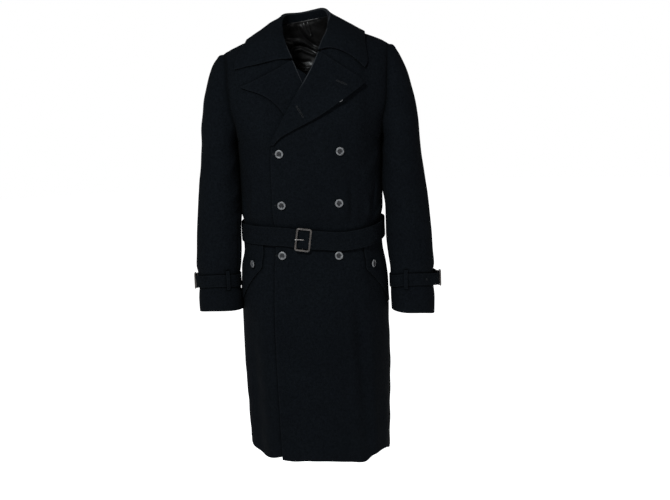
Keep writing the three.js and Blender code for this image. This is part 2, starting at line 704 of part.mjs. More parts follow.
function collar() {
  const outer = [];
  const inner = [];
  const fall = 7;
  for (const section of collarSections()) {
    const top = section.foot.clone().addScaledVector(section.up, section.stand);
    const bend = bendPairs(top, section.up, section.out, section.bend);
    const base = section.foot.clone().addScaledVector(section.up, Math.min(SEAM, section.stand) * 0.5);
    const pairs = [{ outer: base.clone().addScaledVector(section.out, -CLOTH), inner: base }, ...bend];
    const start = bend[bend.length - 1];
    const face = [];
    for (let j = 1; j <= fall; j += 1) {
      const s = j / fall;
      const p = start.outer.clone().multiplyScalar((1 - s) * (1 - 2 * s));
      p.addScaledVector(section.middle, 4 * s * (1 - s)).addScaledVector(section.edge, s * (2 * s - 1));
      face.push(p);
    }
    outer.push([...pairs.map((pair) => pair.outer), ...face]);
    inner.push(pairs.map((pair) => pair.inner));
  }
  const under = moved(outer, 1);
  const row = Math.floor(outer.length / 2);
  const inward = under[row][10].y < outer[row][10].y ? CLOTH : -CLOTH;
  const walls = moved(outer, inward);
  outer.forEach((points, i) => {
    for (let j = inner[i].length; j < points.length; j += 1) inner[i].push(walls[i][j]);
  });
  return between(outer, inner);
}

// ---------------------------------------------------------------- sleeves and cuff straps

// A point of a sleeve's section: 0 is the outer side, 90 the front, 180 the inner side.
function sleevePoint(table, angle, z, off = 0) {
  const inner = read(table, 'z', z, 'inner') - off;
  const outer = read(table, 'z', z, 'outer') + off;
  const front = read(table, 'z', z, 'front') - off;
  const back = read(table, 'z', z, 'back') + off;
  const turn = radians(angle);
  const x = (inner + outer) / 2 + (outer - inner) / 2 * signedPower(Math.cos(turn), 2 / SLEEVE_ROUND);
  const y = (front + back) / 2 + (front - back) / 2 * signedPower(Math.sin(turn), 2 / SLEEVE_ROUND);
  return point(x, y, z);
}

function armholeLoop() {
  const front = ARMHOLE_FRONT.map((p) => p.clone());
  const back = ARMHOLE_BACK.slice(1, -1).reverse().map((p) => p.clone());
  return [...front, ...back];
}

// The sleeve head: curves from each point of the armhole out and down to the first section.
function sleeveHead(table, steps) {
  const loop = armholeLoop();
  const first = table[0].z;
  const rows = [];
  for (let i = 0; i <= steps; i += 1) {
    const t = i / steps;
    rows.push(loop.map((from, j) => {
      const angle = 360 * j / loop.length;
      const high = (1 + Math.cos(radians(angle))) / 2;
      const to = sleevePoint(table, angle, first);
      const start = from.clone().add(point(SEAM, 0, 0));
      const away = point(1, -0.3 * Math.sin(radians(angle)), mix(-0.9, -0.26, high)).normalize();
      const leave = start.clone().addScaledVector(away, mix(4, 33, high));
      const arrive = to.clone().add(point(0, 0, mix(4, 122, high)));
      const p = start.multiplyScalar((1 - t) ** 3);
      p.addScaledVector(leave, 3 * t * (1 - t) ** 2).addScaledVector(arrive, 3 * t * t * (1 - t));
      return p.addScaledVector(to, t ** 3);
    }));
  }
  return rows;
}

function sleeve(cuff) {
  const { side, table } = cuff;
  const head = sleeveHead(table, 6);
  const columns = head[0].length;
  const rows = [...head];
  const hem = table[table.length - 1].z;
  for (const row of table.slice(1)) {
    rows.push(head[0].map((_, j) => {
      const p = sleevePoint(table, 360 * j / columns, row.z);
      const share = smooth(hem + 70, hem, row.z);
      p.z -= share * slant(360 * j / columns, cuff.hemOutside, cuff.hemInside);
      return p;
    }));
  }
  const outer = rows.map((row) => row.map((p) => point(p.x * side, p.y, p.z)));
  const middle = rows.length - 4;
  const test = moved(outer, 1, true)[middle][0].x;
  const inward = Math.abs(test) < Math.abs(outer[middle][0].x) ? 1 : -1;
  const inner = moved(outer, inward * CLOTH, true);
  inner[0].forEach((p, j) => {
    const limit = Math.abs(outer[0][j].x);
    p.x = side * Math.max(limit, Math.abs(p.x));
  });
  return between(outer, inner, true);
}

// How much lower a slanting edge round the sleeve lies at an angle than in front.
function slant(angle, outside, inside) {
  const reach = Math.cos(radians(angle));
  return (reach > 0 ? outside : inside) * reach * reach;
}

// The cuff strap goes once round the sleeve, passes its buckle on the outer side and ends there.
function cuffStrap(cuff) {
  const { side, table, top, bottom, tail, bulge } = cuff;
  const outer = [];
  const inner = [];
  const steps = 22;
  for (let i = 0; i <= steps; i += 1) {
    const angle = mix(-16, -416, i / steps);
    const second = smooth(-322, -350, angle);
    const free = smooth(-378, -416, angle);
    const turn = (angle + 376) % 360 - 16;
    const stands = bulge * Math.exp(-((turn / 24) ** 2)) + bulge * Math.exp(-(((turn - 360) / 24) ** 2));
    const off = 1.1 + second * 4.6 + free * tail + stands;
    const put = (z, extra) => {
      const lower = slant(angle, cuff.strapOutside, cuff.strapInside);
      const p = sleevePoint(table, angle, z, off + extra);
      return point(p.x * side, p.y, p.z - lower);
    };
    const heights = [bottom, top];
    outer.push(heights.map((z) => put(z, STRAP)));
    inner.push(heights.map((z) => put(z, 0)));
  }
  return between(outer, inner);
}

function cuffLoop(cuff) {
  const { side, table, top, bottom, loop } = cuff;
  const rows = [
    { z: top + 9, off: 1 },
    { z: top + 4, off: 2.6 },
    { z: top - 2, off: 4.2 },
    { z: bottom + 2, off: 4.2 },
    { z: bottom - 4, off: 2.6 },
    { z: bottom - 9, off: 1 },
  ];
  const put = (row, turn, extra) => {
    const p = sleevePoint(table, loop + turn, row.z, row.off + extra);
    return point(p.x * side, p.y, p.z);
  };
  const outer = rows.map((row) => [-4.5, 4.5].map((turn) => put(row, turn, 1.6)));
  const inner = rows.map((row) => [-4.5, 4.5].map((turn) => put(row, turn, 0)));
  return between(outer, inner);
}

// ---------------------------------------------------------------- belt, flaps

// The belt starts at the buckle's bar, goes once round and lies on itself to its free end.
function belt() {
  const outer = [];
  const inner = [];
  const steps = 86;
  for (let i = 0; i <= steps; i += 1) {
    const travel = mix(-2.2, 418, i / steps);
    const angle = travel - 360 * Math.round(travel / 360);
    const second = smooth(340, 351, travel) * 2.8;
    const off = read(BELT, 'angle', angle, 'off') + second;
    const middle = read(BELT, 'angle', angle, 'z');
    const ends = travel > 408 ? mix(1, 0.5, (travel - 408) / 10) : 1;
    const heights = [-0.5, 0.5].map((share) => middle + share * BELT_WIDTH * ends);
    const put = (z, extra) => {
      const p = ring(angle, -514, off + extra);
      return point(p.x, p.y, z);
    };
    outer.push(heights.map((z) => put(z, CLOTH)));
    inner.push(heights.map((z) => put(z, 0)));
  }
  return between(outer, inner);
}

function flap(shape) {
  const { side, edge, hinge, corner, point: tip } = shape;
  const grids = [0, 1].map(() => []);
  for (let i = 0; i <= 6; i += 1) {
    const rows = grids.map(() => []);
    for (let j = 0; j <= 6; j += 1) {
      const angle = side * mix(edge, hinge, j / 6);
      const low = mix(corner, tip, j / 6);
      const top = read(BELT, 'angle', angle, 'z') - BELT_WIDTH / 2 - 1;
      const z = mix(low, top, i / 6);
      const off = side > 0 ? layerAt(ring(angle, z).x, z) : 0;
      rows[0].push(ring(angle, z, off + 1.1 + CLOTH - 0.4));
      rows[1].push(ring(angle, z, off + 1.1));
    }
    grids.forEach((grid, k) => grid.push(rows[k]));
  }
  return between(grids[0], grids[1]);
}

// ---------------------------------------------------------------- buttons and buckles

function buttonGeometry() {
  const { radius, thick } = BUTTON;
  const profile = [
    [0, 0], [radius * 0.88, 0], [radius, thick * 0.5], [radius * 0.86, thick],
    [radius * 0.66, thick * 0.7], [0, thick * 0.66],
  ];
  const geometry = new THREE.LatheGeometry(profile.map(([x, y]) => new THREE.Vector2(x, y)), 12);
  geometry.rotateX(Math.PI / 2);
  return geometry;
}

// A mesh stands on the cloth with its own +Z along the cloth's outward direction.
function stand(mesh, place, out, tilt = 0) {
  const across = point(0, 0, 1).cross(out).normalize();
  const up = out.clone().cross(across).normalize();
  mesh.matrix.makeBasis(across, up, out);
  mesh.quaternion.setFromRotationMatrix(mesh.matrix);
  mesh.rotateZ(radians(tilt));
  mesh.position.copy(place);
  return mesh;
}

function roundedRectangle(wide, tall, corner) {
  const shape = new THREE.Shape();
  const x = wide / 2;
  const y = tall / 2;
  shape.moveTo(-x + corner, -y);
  shape.lineTo(x - corner, -y);
  shape.quadraticCurveTo(x, -y, x, -y + corner);
  shape.lineTo(x, y - corner);
  shape.quadraticCurveTo(x, y, x - corner, y);
  shape.lineTo(-x + corner, y);
  shape.quadraticCurveTo(-x, y, -x, y - corner);
  shape.lineTo(-x, -y + corner);
  shape.quadraticCurveTo(-x, -y, -x + corner, -y);
  return shape;
}

function box(wide, tall, thick, x, y, z) {
  return new THREE.BoxGeometry(wide, tall, thick).translate(x, y, z);
}

const wasm = await Module();
wasm.setup();

function toManifold(source) {
  const bare = source.clone();
  bare.deleteAttribute('normal');
  bare.deleteAttribute('uv');
  const merged = mergeVertices(bare, 1e-4);
  return new wasm.Manifold(new wasm.Mesh({
    numProp: 3,
    vertProperties: Float32Array.from(merged.attributes.position.array),
    triVerts: Uint32Array.from(merged.index.array),
  }));
}

function joined(pieces) {
  let whole = toManifold(pieces[0]);
  for (const piece of pieces.slice(1)) whole = whole.add(toManifold(piece));
  const mesh = whole.getMesh();
  const geometry = new THREE.BufferGeometry();
  geometry.setAttribute('position', new THREE.Float32BufferAttribute(mesh.vertProperties, 3));
  geometry.setIndex(Array.from(mesh.triVerts));
  geometry.computeVertexNormals();
  return geometry;
}

// A buckle frame whose middle bar lies lower, on two short legs, so that the strap passes between.
function buckleGeometry(size) {
  const { wide, tall, bar, thick, lift, low } = size;
  const shape = roundedRectangle(wide, tall, bar * 1.3);
  shape.holes.push(roundedRectangle(wide - 2 * bar, tall - 2 * bar, bar * 0.6));
  const frame = new THREE.ExtrudeGeometry(shape, {
    depth: thick - 1.2, bevelEnabled: true, bevelThickness: 0.6, bevelSize: 0.6,
    bevelOffset: -0.6, bevelSegments: 1, curveSegments: 3,
  });
  frame.translate(0, 0, lift + 0.6);
  const leg = lift - low + 0.8;
  const legY = tall / 2 - bar / 2;
  const legs = [-legY, legY].map((y) => box(4, bar - 1.4, leg, 0, y, low + leg / 2));
  const barPiece = box(4, tall - bar, 2.2, 0, 0, low + 1.1);
  return joined([frame, ...legs, barPiece]);
}

function prongGeometry(length, lift) {
  const shape = new THREE.Shape();
  shape.moveTo(0, lift);
  shape.lineTo(-length + 10, lift);
  shape.lineTo(-length + 6.4, lift + 5.2);
  shape.lineTo(-length, lift + 4.9);
  shape.lineTo(-length, lift + 6.4);
  shape.lineTo(-length + 6, lift + 7.4);
  shape.lineTo(-length + 11, lift + 2.6);
  shape.lineTo(0, lift + 2.2);
  const rod = new THREE.ExtrudeGeometry(shape, { depth: 2.4, bevelEnabled: false });
  return rod.translate(0, 0, -1.2).rotateX(Math.PI / 2);
}

// ---------------------------------------------------------------- the whole coat

const coat = new THREE.Group();

function add(name, geometry, material) {
  const mesh = new THREE.Mesh(geometry, material);
  mesh.name = name;
  coat.add(mesh);
  return mesh;
}

add('front_left', bodyWall(frontGrid(1, UPPER_EDGE, 'upper', true, 14), true), WOOL);
add('front_right', bodyWall(frontGrid(-1, LOWER_EDGE, 'lower', false, 14), true), WOOL);
add('back', bodyWall(backGrid(19), false), WOOL);
add('lining_back', liningBack(), SATIN_BLACK);
add('collar', collar(), WOOL);
add('lapel_left', lapel(UPPER_LAPEL, onUpperFront, 'upper', 7), WOOL);
add('lapel_right', lapel(LOWER_LAPEL, onLowerFront, 'lower', 7), WOOL);
add('sleeve_left', sleeve(CUFF_LEFT), WOOL);
add('sleeve_right', sleeve(CUFF_RIGHT), WOOL);
add('belt', belt(), WOOL);
add('flap_left', flap(FLAP_LEFT), WOOL);
add('flap_right', flap(FLAP_RIGHT), WOOL);

for (const button of BUTTONS) {
  const mesh = add(button.name, buttonGeometry(), HORN);
  stand(mesh, onUpperFront(button.x, button.z, button.lift ?? 0.8), frontNormal(button.x, button.z));
}

function flapButton(name, side, spot) {
  const angle = side * spot.angle;
  const out = ring(angle, spot.z, 10).sub(ring(angle, spot.z, 0));
  const across = ring(angle + 4, spot.z).sub(ring(angle - 4, spot.z)).normalize();
  out.addScaledVector(across, -out.dot(across)).normalize();
  const off = side > 0 ? layerAt(ring(angle, spot.z).x, spot.z) : 0;
  const place = ring(angle, spot.z, off).addScaledVector(out, CLOTH + 2.4);
  stand(add(name, buttonGeometry(), HORN), place, out);
}

flapButton('button_flap_left', 1, FLAP_BUTTON_LEFT);
flapButton('button_flap_right', -1, FLAP_BUTTON_RIGHT);

const beltFace = point(0, -1, 0);
const beltSpot = point(BUCKLE.x, ring(-5, -514, 0).y, BUCKLE.z);
stand(add('belt_buckle', buckleGeometry(BUCKLE), LEATHER), beltSpot, beltFace, BUCKLE.tilt);
stand(add('belt_prong', prongGeometry(20.5, BUCKLE.lift - 0.2), LEATHER), beltSpot, beltFace, BUCKLE.tilt);

for (const cuff of [CUFF_LEFT, CUFF_RIGHT]) {
  const name = cuff.side > 0 ? 'left' : 'right';
  add(`cuff_strap_${name}`, cuffStrap(cuff), WOOL);
  add(`cuff_loop_${name}`, cuffLoop(cuff), WOOL);
  const size = { wide: 26, tall: 40, bar: 4, thick: 3.2, lift: 8, low: 2.3 };
  const height = (cuff.top + cuff.bottom) / 2;
  const edge = sleevePoint(cuff.table, 0, height, cuff.bulge * 0.97);
  const place = point(edge.x * cuff.side, edge.y, height - cuff.strapOutside);
  stand(add(`cuff_buckle_${name}`, buckleGeometry(size), LEATHER), place, point(cuff.side, 0, 0));
}

export default coat;
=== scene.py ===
"""A black double-breasted wool trench coat, filled out as on a wearer and held at the shoulders."""
import math
from collections import namedtuple

import bmesh
import bpy
import numpy as np
from mathutils import Matrix, Vector
from mathutils.bvhtree import BVHTree
from mathutils.kdtree import KDTree


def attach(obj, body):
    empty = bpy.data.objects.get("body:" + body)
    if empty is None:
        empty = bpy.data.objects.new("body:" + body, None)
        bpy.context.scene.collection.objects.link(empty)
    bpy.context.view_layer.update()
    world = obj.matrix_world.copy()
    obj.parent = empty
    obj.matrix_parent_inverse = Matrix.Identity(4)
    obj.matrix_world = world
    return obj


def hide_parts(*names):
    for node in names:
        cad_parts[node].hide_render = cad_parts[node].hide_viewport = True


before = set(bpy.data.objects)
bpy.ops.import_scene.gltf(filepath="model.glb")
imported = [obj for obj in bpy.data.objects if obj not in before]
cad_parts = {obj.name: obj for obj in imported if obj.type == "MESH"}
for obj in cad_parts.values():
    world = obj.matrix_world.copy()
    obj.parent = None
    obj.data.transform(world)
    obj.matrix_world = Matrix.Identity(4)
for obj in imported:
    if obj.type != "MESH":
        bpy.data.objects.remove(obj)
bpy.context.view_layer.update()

MM = 0.001

# Cloth pieces: how often each is halved to round it, and the strips that its sewn rows make.
CLOTH = {
    "front_left": {"levels": 3}, "front_right": {"levels": 3}, "back": {"levels": 3},
    "sleeve_left": {"levels": 3}, "sleeve_right": {"levels": 3},
    "collar": {"levels": 3}, "lapel_left": {"levels": 3}, "lapel_right": {"levels": 3},
    "flap_left": {"levels": 3}, "flap_right": {"levels": 3},
    "belt": {"levels": 2, "strips": 12},
    "cuff_strap_left": {"levels": 2, "strips": 8}, "cuff_strap_right": {"levels": 2, "strips": 8},
    "cuff_loop_left": {"levels": 3}, "cuff_loop_right": {"levels": 3},
}
SHELL_PIECES = ["front_left", "front_right", "back", "sleeve_left", "sleeve_right"]
ARMHOLE_MIDDLE = -165                   # height in mm
BELT_HEIGHT, BELT_REACH = -510, 26      # where the belt holds the folds down, in mm,
BELT_HOLD = 0.85                        # and how much of them it takes
BODY_WIDER = 1.4                        # how much wider than deep the body is
# Whose edges lie on each piece; the cloth round those edges gets painted shade.
LAYERS = {
    "front_left": ["lapel_left", "collar", "flap_left", "belt"],
    "front_right": ["front_left", "lapel_left", "lapel_right", "collar", "flap_right", "belt"],
    "back": ["collar", "belt"], "lapel_left": ["collar"], "lapel_right": ["collar", "lapel_left"],
    "sleeve_left": ["cuff_strap_left", "cuff_loop_left"], "cuff_strap_left": ["cuff_loop_left"],
    "sleeve_right": ["cuff_strap_right", "cuff_loop_right"], "cuff_strap_right": ["cuff_loop_right"],
}

# In metres.
EDGE_ROUNDING = 0.0007        # how far a cut or folded edge is rounded
ROW_DEPTH = 0.0003            # how deep a row of stitches draws the cloth in
ROW_CREST = 0.0001            # and how far the cloth swells between two rows
LINING_EDGE = 0.045           # the inside is lined from this far in from its free edges
EDGE_SPACING = 0.0008         # of the places that stand for an edge
UNDERARM = -0.2               # above it lie the shoulder seams
BELOW_ARMHOLE = -0.27         # below it sleeve and body hang side by side
FOLD_HIGHLIGHT_FROM, FOLD_HIGHLIGHT_FULLY = -0.165, -0.125        # heights between which folds begin to get their painted highlight
# In mm.
HALF_WIDE, HALF_DEEP, HALF_TALL = 190.0, 125.0, 140.0    # of the round form of body and shoulders
LEVEL_BELOW = -200            # the height below which the body's way out is level
BODY_RADIUS = 150             # of the round form on which the body's folds are measured
SLEEVE_RADIUS = 52            # and of the sleeves' one
SEAM_GAP = 1.2                # edges closer to each other than this are sewn together
SEAM_TROUGH = 1.3             # how far the cloth sinks towards a seam
SEAM_REACH = 5.0              # how far off it starts to
PULL_REACH = 4.0              # how far off it is pulled sideways to the seam
CORNER_REACH = 7.0            # and to the corner where shoulder seam and armhole meet
SLEEVE_PULL, BACK_PULL = 0.9, 0.5
CORNER_PULL = {"sleeve_left": 2.6, "sleeve_right": 2.6, "back": 1.7,
               "front_left": 1.2, "front_right": 1.2}
LAYER_GAP = 3.0               # a layer's edge nearer to this piece's own edge is sewn in with it
FAR = 20.0                    # too far from a seam or a layer to be marked by it
EDGE_FAR = 60.0               # how far off free edges and facing cloth are looked for
SHADE_GAP_START = 1.0           # taken off the scaled gap between sleeve and body, for the painted shade there
FOLD_HIGHLIGHT_OFF_EDGE = 2.0               # folds nearer than this to a free edge get no painted highlight
# No unit.
SHARP = math.radians(50)      # a corner sharper than this is a cut or folded edge of the cloth
LEE_AWAY, LEE_WIDTH, LEE_DEPTH = 2.1, 1.4, 0.6    # a fold's companion, as shares of the fold
FOLDED_FROM, FOLDED_TO = 0.09, 0.22               # bend per mm at which a fold's painted highlight starts, and at which it is full
SHADE_GAP_SHARE = 0.5           # how much of the gap between sleeve and body counts, for the painted shade there
INWARDS = -0.2                # a face turned at least so far from the way out is an inside one
EVERY = 3                     # one point in so many stands for the facing cloth


# ---------------------------------------------------------------- folds of the cloth

# half: half width in mm. depth: mm outwards (+) or inwards (-). lee: how strongly a lower companion
# lies beside it, on the side given by its sign. path: (angle, height) with heights in mm.
Fold = namedtuple("Fold", "half depth lee path")

# Folds of the body. Angle 0 is the front, and 90 the wearer's left.
BODY_FOLDS = [
    # under the belt, on the skirt's front
    Fold(12, 4.0, 0.3, [(26, -600), (26, -760), (28, -900), (32, -1200)]),
    Fold(12, -8.0, 0.2, [(34, -620), (35, -780), (37, -900), (41, -1200)]),
    Fold(20, 3.0, 0.4, [(57, -680), (58, -820), (60, -960), (62, -1200)]),
    Fold(16, 3.0, -0.6, [(-33, -590), (-31, -760), (-30, -930), (-29, -1200)]),
    Fold(20, -4.0, 0.4, [(-52, -700), (-55, -850), (-58, -1200)]),
    Fold(20, 1.8, 0.3, [(3, -650), (1, -800), (-3, -960), (-4, -1200)]),
    # over the belt, where the cloth is drawn in
    Fold(6, -3.4, 0.7, [(30, -372), (31, -420), (31, -490)]),
    Fold(7, 3.4, 0.6, [(43, -400), (46, -440), (47, -492)]),
    Fold(6, -3.0, -0.6, [(58, -380), (53, -430), (52, -490)]),
    Fold(5, 3.4, 0.7, [(72, -430), (62, -462), (50, -484)]),
    Fold(8, 3.0, 0.7, [(-46, -360), (-49, -420), (-50, -492)]),
    Fold(7, -3.0, 0.6, [(-66, -395), (-61, -440), (-58, -492)]),
    Fold(8, 1.6, 0.6, [(-14, -440), (-16, -466), (-17, -492)]),
    # from the underarms
    Fold(12, 2.6, 0.6, [(70, -300), (54, -345), (38, -380)]),
    Fold(13, 2.4, -0.6, [(-70, -300), (-56, -340), (-44, -372)]),
    # back
    Fold(13, 3.0, 0.6, [(118, -300), (132, -350), (148, -390)]),
    Fold(12, 2.6, -0.6, [(-116, -304), (-134, -360), (-152, -398)]),
    Fold(8, 3.6, 0.7, [(140, -380), (146, -440), (148, -492)]),
    Fold(7, -3.0, 0.6, [(163, -400), (164, -450), (165, -492)]),
    Fold(8, 3.2, -0.7, [(-158, -370), (-160, -440), (-160, -492)]),
    Fold(6, -3.0, 0.5, [(-138, -410), (-141, -450), (-142, -492)]),
    Fold(20, 4.0, 0.5, [(128, -620), (126, -800), (124, -1200)]),
    Fold(18, -4.5, -0.5, [(155, -560), (153, -760), (150, -1200)]),
    Fold(19, 4.0, 0.5, [(-160, -580), (-157, -800), (-155, -1200)]),
    Fold(18, -4.5, 0.4, [(-132, -640), (-135, -860), (-138, -1200)]),
    Fold(16, 2.6, 0.4, [(97, -680), (95, -860), (92, -1200)]),
    Fold(17, 2.4, -0.4, [(-98, -660), (-97, -860), (-95, -1200)]),
]

# Folds of the sleeves. Angle 0 is the front of the sleeve, and 90 its outside.
SLEEVE_FOLDS_LEFT = [
    Fold(24, 4.5, 0.1, [(-88, -210), (-88, -350), (-84, -455)]),
    Fold(12, 3.0, 0.6, [(-60, -300), (-20, -345), (20, -372)]),
    Fold(10, 3.4, 0.7, [(-70, -395), (-30, -428), (8, -446)]),
    Fold(8, -2.6, 0.5, [(-85, -455), (-35, -470), (5, -466)]),
    Fold(11, 2.6, -0.6, [(-75, -500), (-35, -512), (10, -500)]),
    Fold(17, 2.0, 0.3, [(60, -330), (70, -450), (66, -570)]),
    Fold(10, 2.0, 0.5, [(-20, -560), (10, -580), (40, -604)]),
    Fold(13, 3.0, 0.6, [(170, -330), (200, -380), (230, -410)]),
    Fold(10, -2.8, 0.5, [(150, -440), (190, -455), (225, -450)]),
    Fold(12, 2.6, 0.5, [(150, -500), (185, -520), (225, -530)]),
]
SLEEVE_FOLDS_RIGHT = [
    Fold(3.2, -2.2, 0.6, [(-60, -430), (-62, -520), (-66, -650)]),
    Fold(24, 5.0, 0.1, [(-88, -190), (-88, -350), (-86, -510)]),
    Fold(24, 3.6, 0.1, [(-88, -560), (-88, -620), (-88, -780)]),
    Fold(12, 2.6, 0.6, [(-58, -310), (-22, -350), (14, -380)]),
    Fold(11, 3.0, 0.6, [(-72, -388), (-36, -415), (2, -430)]),
    Fold(8, -2.6, -0.5, [(-80, -440), (-38, -462), (6, -470)]),
    Fold(10, 2.8, 0.6, [(-75, -492), (-36, -498), (8, -486)]),
    Fold(17, 1.8, 0.3, [(50, -300), (62, -420), (58, -560)]),
    Fold(10, 2.0, -0.5, [(-24, -548), (8, -566), (36, -590)]),
    Fold(3.5, -1.0, 0.4, [(-60, -652), (-10, -655), (40, -653)]),
    Fold(13, 2.8, -0.6, [(165, -340), (198, -386), (228, -420)]),
    Fold(10, -2.8, 0.5, [(150, -448), (188, -466), (222, -462)]),
    Fold(12, 2.4, 0.5, [(152, -508), (186, -522), (226, -526)]),
]

# Middle line of the sleeves: height, and how far to the side and to the back, in mm.
SLEEVE_MIDDLE = [(-65, 205, -2), (-200, 216, -4), (-310, 223, -11), (-380, 226, -26),
                 (-480, 232, -30), (-600, 241, -35), (-720, 241, -36)]

# half: half width in mm. rise: mm off its ground. path: (x, height) in mm.
Crease = namedtuple("Crease", "half rise path")

# Creases of the lining behind the open neck.
LINING_CREASES = [
    Crease(3.4, 8, [(-54, -42), (-35, -46), (-17, -46), (-2, -52), (15, -64), (40, -76)]),
    Crease(3.2, 7, [(-40, -76), (-28, -69), (-14, -66), (0, -74), (30, -86)]),
    Crease(3.4, 8, [(-46, -78), (-23, -104), (-5, -115), (20, -112)]),
    Crease(3.4, -3, [(-24, -6), (-8, -33), (24, -64)]),
    Crease(4.2, 6, [(-15, -4), (2, -31), (38, -60)]),
    Crease(3.6, -4, [(-44, -60), (-20, -57), (2, -64), (24, -77)]),
    Crease(4.5, -4, [(-36, -92), (-12, -100), (14, -98)]),
    Crease(7, 6, [(-60, -120), (-30, -150), (4, -168)]),
    Crease(8, 5, [(60, -90), (40, -140), (14, -200)]),
    Crease(9, 5, [(-70, -190), (-30, -220), (10, -240)]),
]
HANGER_LOOP = [(-5, -2), (-3, -12), (1, -22), (6, -31), (10, -36), (13, -33), (11, -22), (7, -10), (5, 0)]


def smooth(low, high, value):
    """0 below low, 1 above high, and a soft rise between."""
    share = np.clip((value - low) / (high - low), 0.0, 1.0)
    return share * share * (3 - 2 * share)


def bell(distance, reach):
    """1 where the distance is nothing, falling off softly to both sides."""
    return np.exp(-((distance / reach) ** 2))


def along_path(across, height, path):
    """Signed distance of each place from a path of points, and how far along it lies, 0 to 1."""
    path = np.asarray(path, dtype=float)
    steps = np.diff(path, axis=0)
    lengths = np.hypot(steps[:, 0], steps[:, 1])
    reached = np.concatenate([[0.0], np.cumsum(lengths)])
    best = np.full(across.shape, 1e9)
    signed = np.zeros(across.shape)
    share = np.zeros(across.shape)
    for start, step, length, before in zip(path[:-1], steps, lengths, reached):
        to_x, to_z = across - start[0], height - start[1]
        ahead = np.clip((to_x * step[0] + to_z * step[1]) / length**2, 0, 1)
        distance = np.hypot(to_x - ahead * step[0], to_z - ahead * step[1])
        side = np.sign(to_x * step[1] - to_z * step[0])
        nearer = distance < best
        best = np.where(nearer, distance, best)
        signed = np.where(nearer, distance * side, signed)
        share = np.where(nearer, (before + ahead * length) / reached[-1], share)
    return signed, share


def fold_height(angle, height, folds, radius):
    """How far the folds stand out in mm, on cloth laid round a form of that radius."""
    total = np.zeros(angle.shape)
    for fold in folds:
        first = fold.path[0][0]
        turned = (angle - first + 180) % 360 - 180 + first
        path = [(math.radians(a) * radius, z) for a, z in fold.path]
        distance, share = along_path(np.radians(turned) * radius, height, path)
        taper = smooth(0.0, 0.3, share) * smooth(0.0, 0.25, 1 - share)
        half = fold.half * (0.8 + 0.5 * share)
        ridge = bell(distance, half)
        beside = bell(distance - math.copysign(LEE_AWAY, fold.lee) * half, LEE_WIDTH * half)
        total += fold.depth * taper * (ridge - abs(fold.lee) * LEE_DEPTH * beside)
    return total


def unevenness(places):
    """A small slow wander of all cloth in mm, the same for pieces that lie on one another."""
    x, y, z = places.T
    first = np.sin(0.043 * x + 0.031 * z + 0.6) * np.sin(0.051 * z - 0.022 * y + 1.9)
    second = np.sin(0.091 * z + 0.047 * x + 2.2) * np.sin(0.083 * x - 0.035 * y + 0.4)
    return 0.7 * first + 0.4 * second


def body_outward(places):
    """The way out of the body at each place."""
    x, y, z = places.T
    up = np.maximum(0, z - LEVEL_BELOW) / HALF_TALL**2
    out = np.column_stack([x / HALF_WIDE**2, y / HALF_DEEP**2, up])
    return out / np.linalg.norm(out, axis=1)[:, None]


def body_shift(places):
    """How body cloth is moved by its folds, in mm."""
    x, y, z = places.T
    angle = np.degrees(np.arctan2(x / BODY_WIDER, -y))
    folds = fold_height(angle, z, BODY_FOLDS, BODY_RADIUS)
    held = 1 - BELT_HOLD * bell(z - BELT_HEIGHT, BELT_REACH)
    return body_outward(places) * (folds * held + unevenness(places))[:, None]


def sleeve_outward(places, side):
    """The way out of a sleeve at each place, level."""
    x, y, z = places.T
    heights, middle_x, middle_y = np.array(SLEEVE_MIDDLE[::-1], dtype=float).T
    to_x = x - side * np.interp(z, heights, middle_x)
    to_y = y - np.interp(z, heights, middle_y)
    out = np.column_stack([to_x, to_y, np.zeros(len(x))])
    return out / np.maximum(np.linalg.norm(out, axis=1), 1.0)[:, None]


def sleeve_shift(places, side, folds):
    """How sleeve cloth is moved by its folds, in mm; nothing moves near the armhole."""
    z = places[:, 2]
    out = sleeve_outward(places, side)
    angle = np.degrees(np.arctan2(side * out[:, 0], -out[:, 1]))
    amount = fold_height(angle, z, folds, SLEEVE_RADIUS) * smooth(-250, -320, z)
    amount *= 1 - smooth(-590, -612, z) * (1 - smooth(-646, -652, z))
    own = out * amount[:, None]
    if side < 0:
        x = places[:, 0]
        own[:, 0] += 3.0 * smooth(-470, -600, z)
        own[:, 2] += (5 + 5 * (-180 - x) / 105) * smooth(-652, -712, z)
    return own + body_outward(places) * (unevenness(places) * smooth(-400, -300, z))[:, None]


def armhole_outward(places):
    """The way out of the armholes' rings at each place."""
    _, y, z = places.T
    out = np.column_stack([np.zeros(len(y)), y + 5, z - ARMHOLE_MIDDLE])
    return out / np.maximum(np.linalg.norm(out, axis=1), 1.0)[:, None]


def side_of(name):
    return 1 if name.endswith("left") else -1


def shift(name, places):
    """The folds of one piece: metres in, metres out."""
    places = np.asarray(places, dtype=float) / MM
    if name.startswith(("sleeve", "cuff")):
        side = side_of(name)
        return sleeve_shift(places, side, SLEEVE_FOLDS_LEFT if side > 0 else SLEEVE_FOLDS_RIGHT) * MM
    return (body_shift(places) + hem_shift(name, places)) * MM


def hem_shift(name, places):
    """How the hem rises and falls along the front, in mm."""
    x, y, z = places.T
    rise = 8 * bell(x - 133, 12) - 6 * bell(x - 182, 13)
    if name == "front_left":
        rise = rise - 5 * bell(x + 68, 26)
    if name == "front_right":
        rise = rise + 7 * bell(x + 84, 24)
    low = rise * smooth(-1000, -1076, z) * (y < 20)
    return np.column_stack([np.zeros(len(x)), np.zeros(len(x)), low])


def outward(name, places):
    """The way out of the piece's hollow at each place, in metres."""
    if name.startswith(("sleeve", "cuff")):
        return sleeve_outward(np.asarray(places) / MM, side_of(name))
    return body_outward(np.asarray(places) / MM)


# ---------------------------------------------------------------- meshes

def triples(items, key):
    """One vector of each item of a mesh, as the rows of an array."""
    flat = np.empty(len(items) * 3)
    items.foreach_get(key, flat)
    return flat.reshape(-1, 3)


def points_of(mesh):
    return triples(mesh.vertices, "co")


def set_points(mesh, places):
    mesh.vertices.foreach_set("co", np.asarray(places, dtype=float).ravel())
    mesh.update()


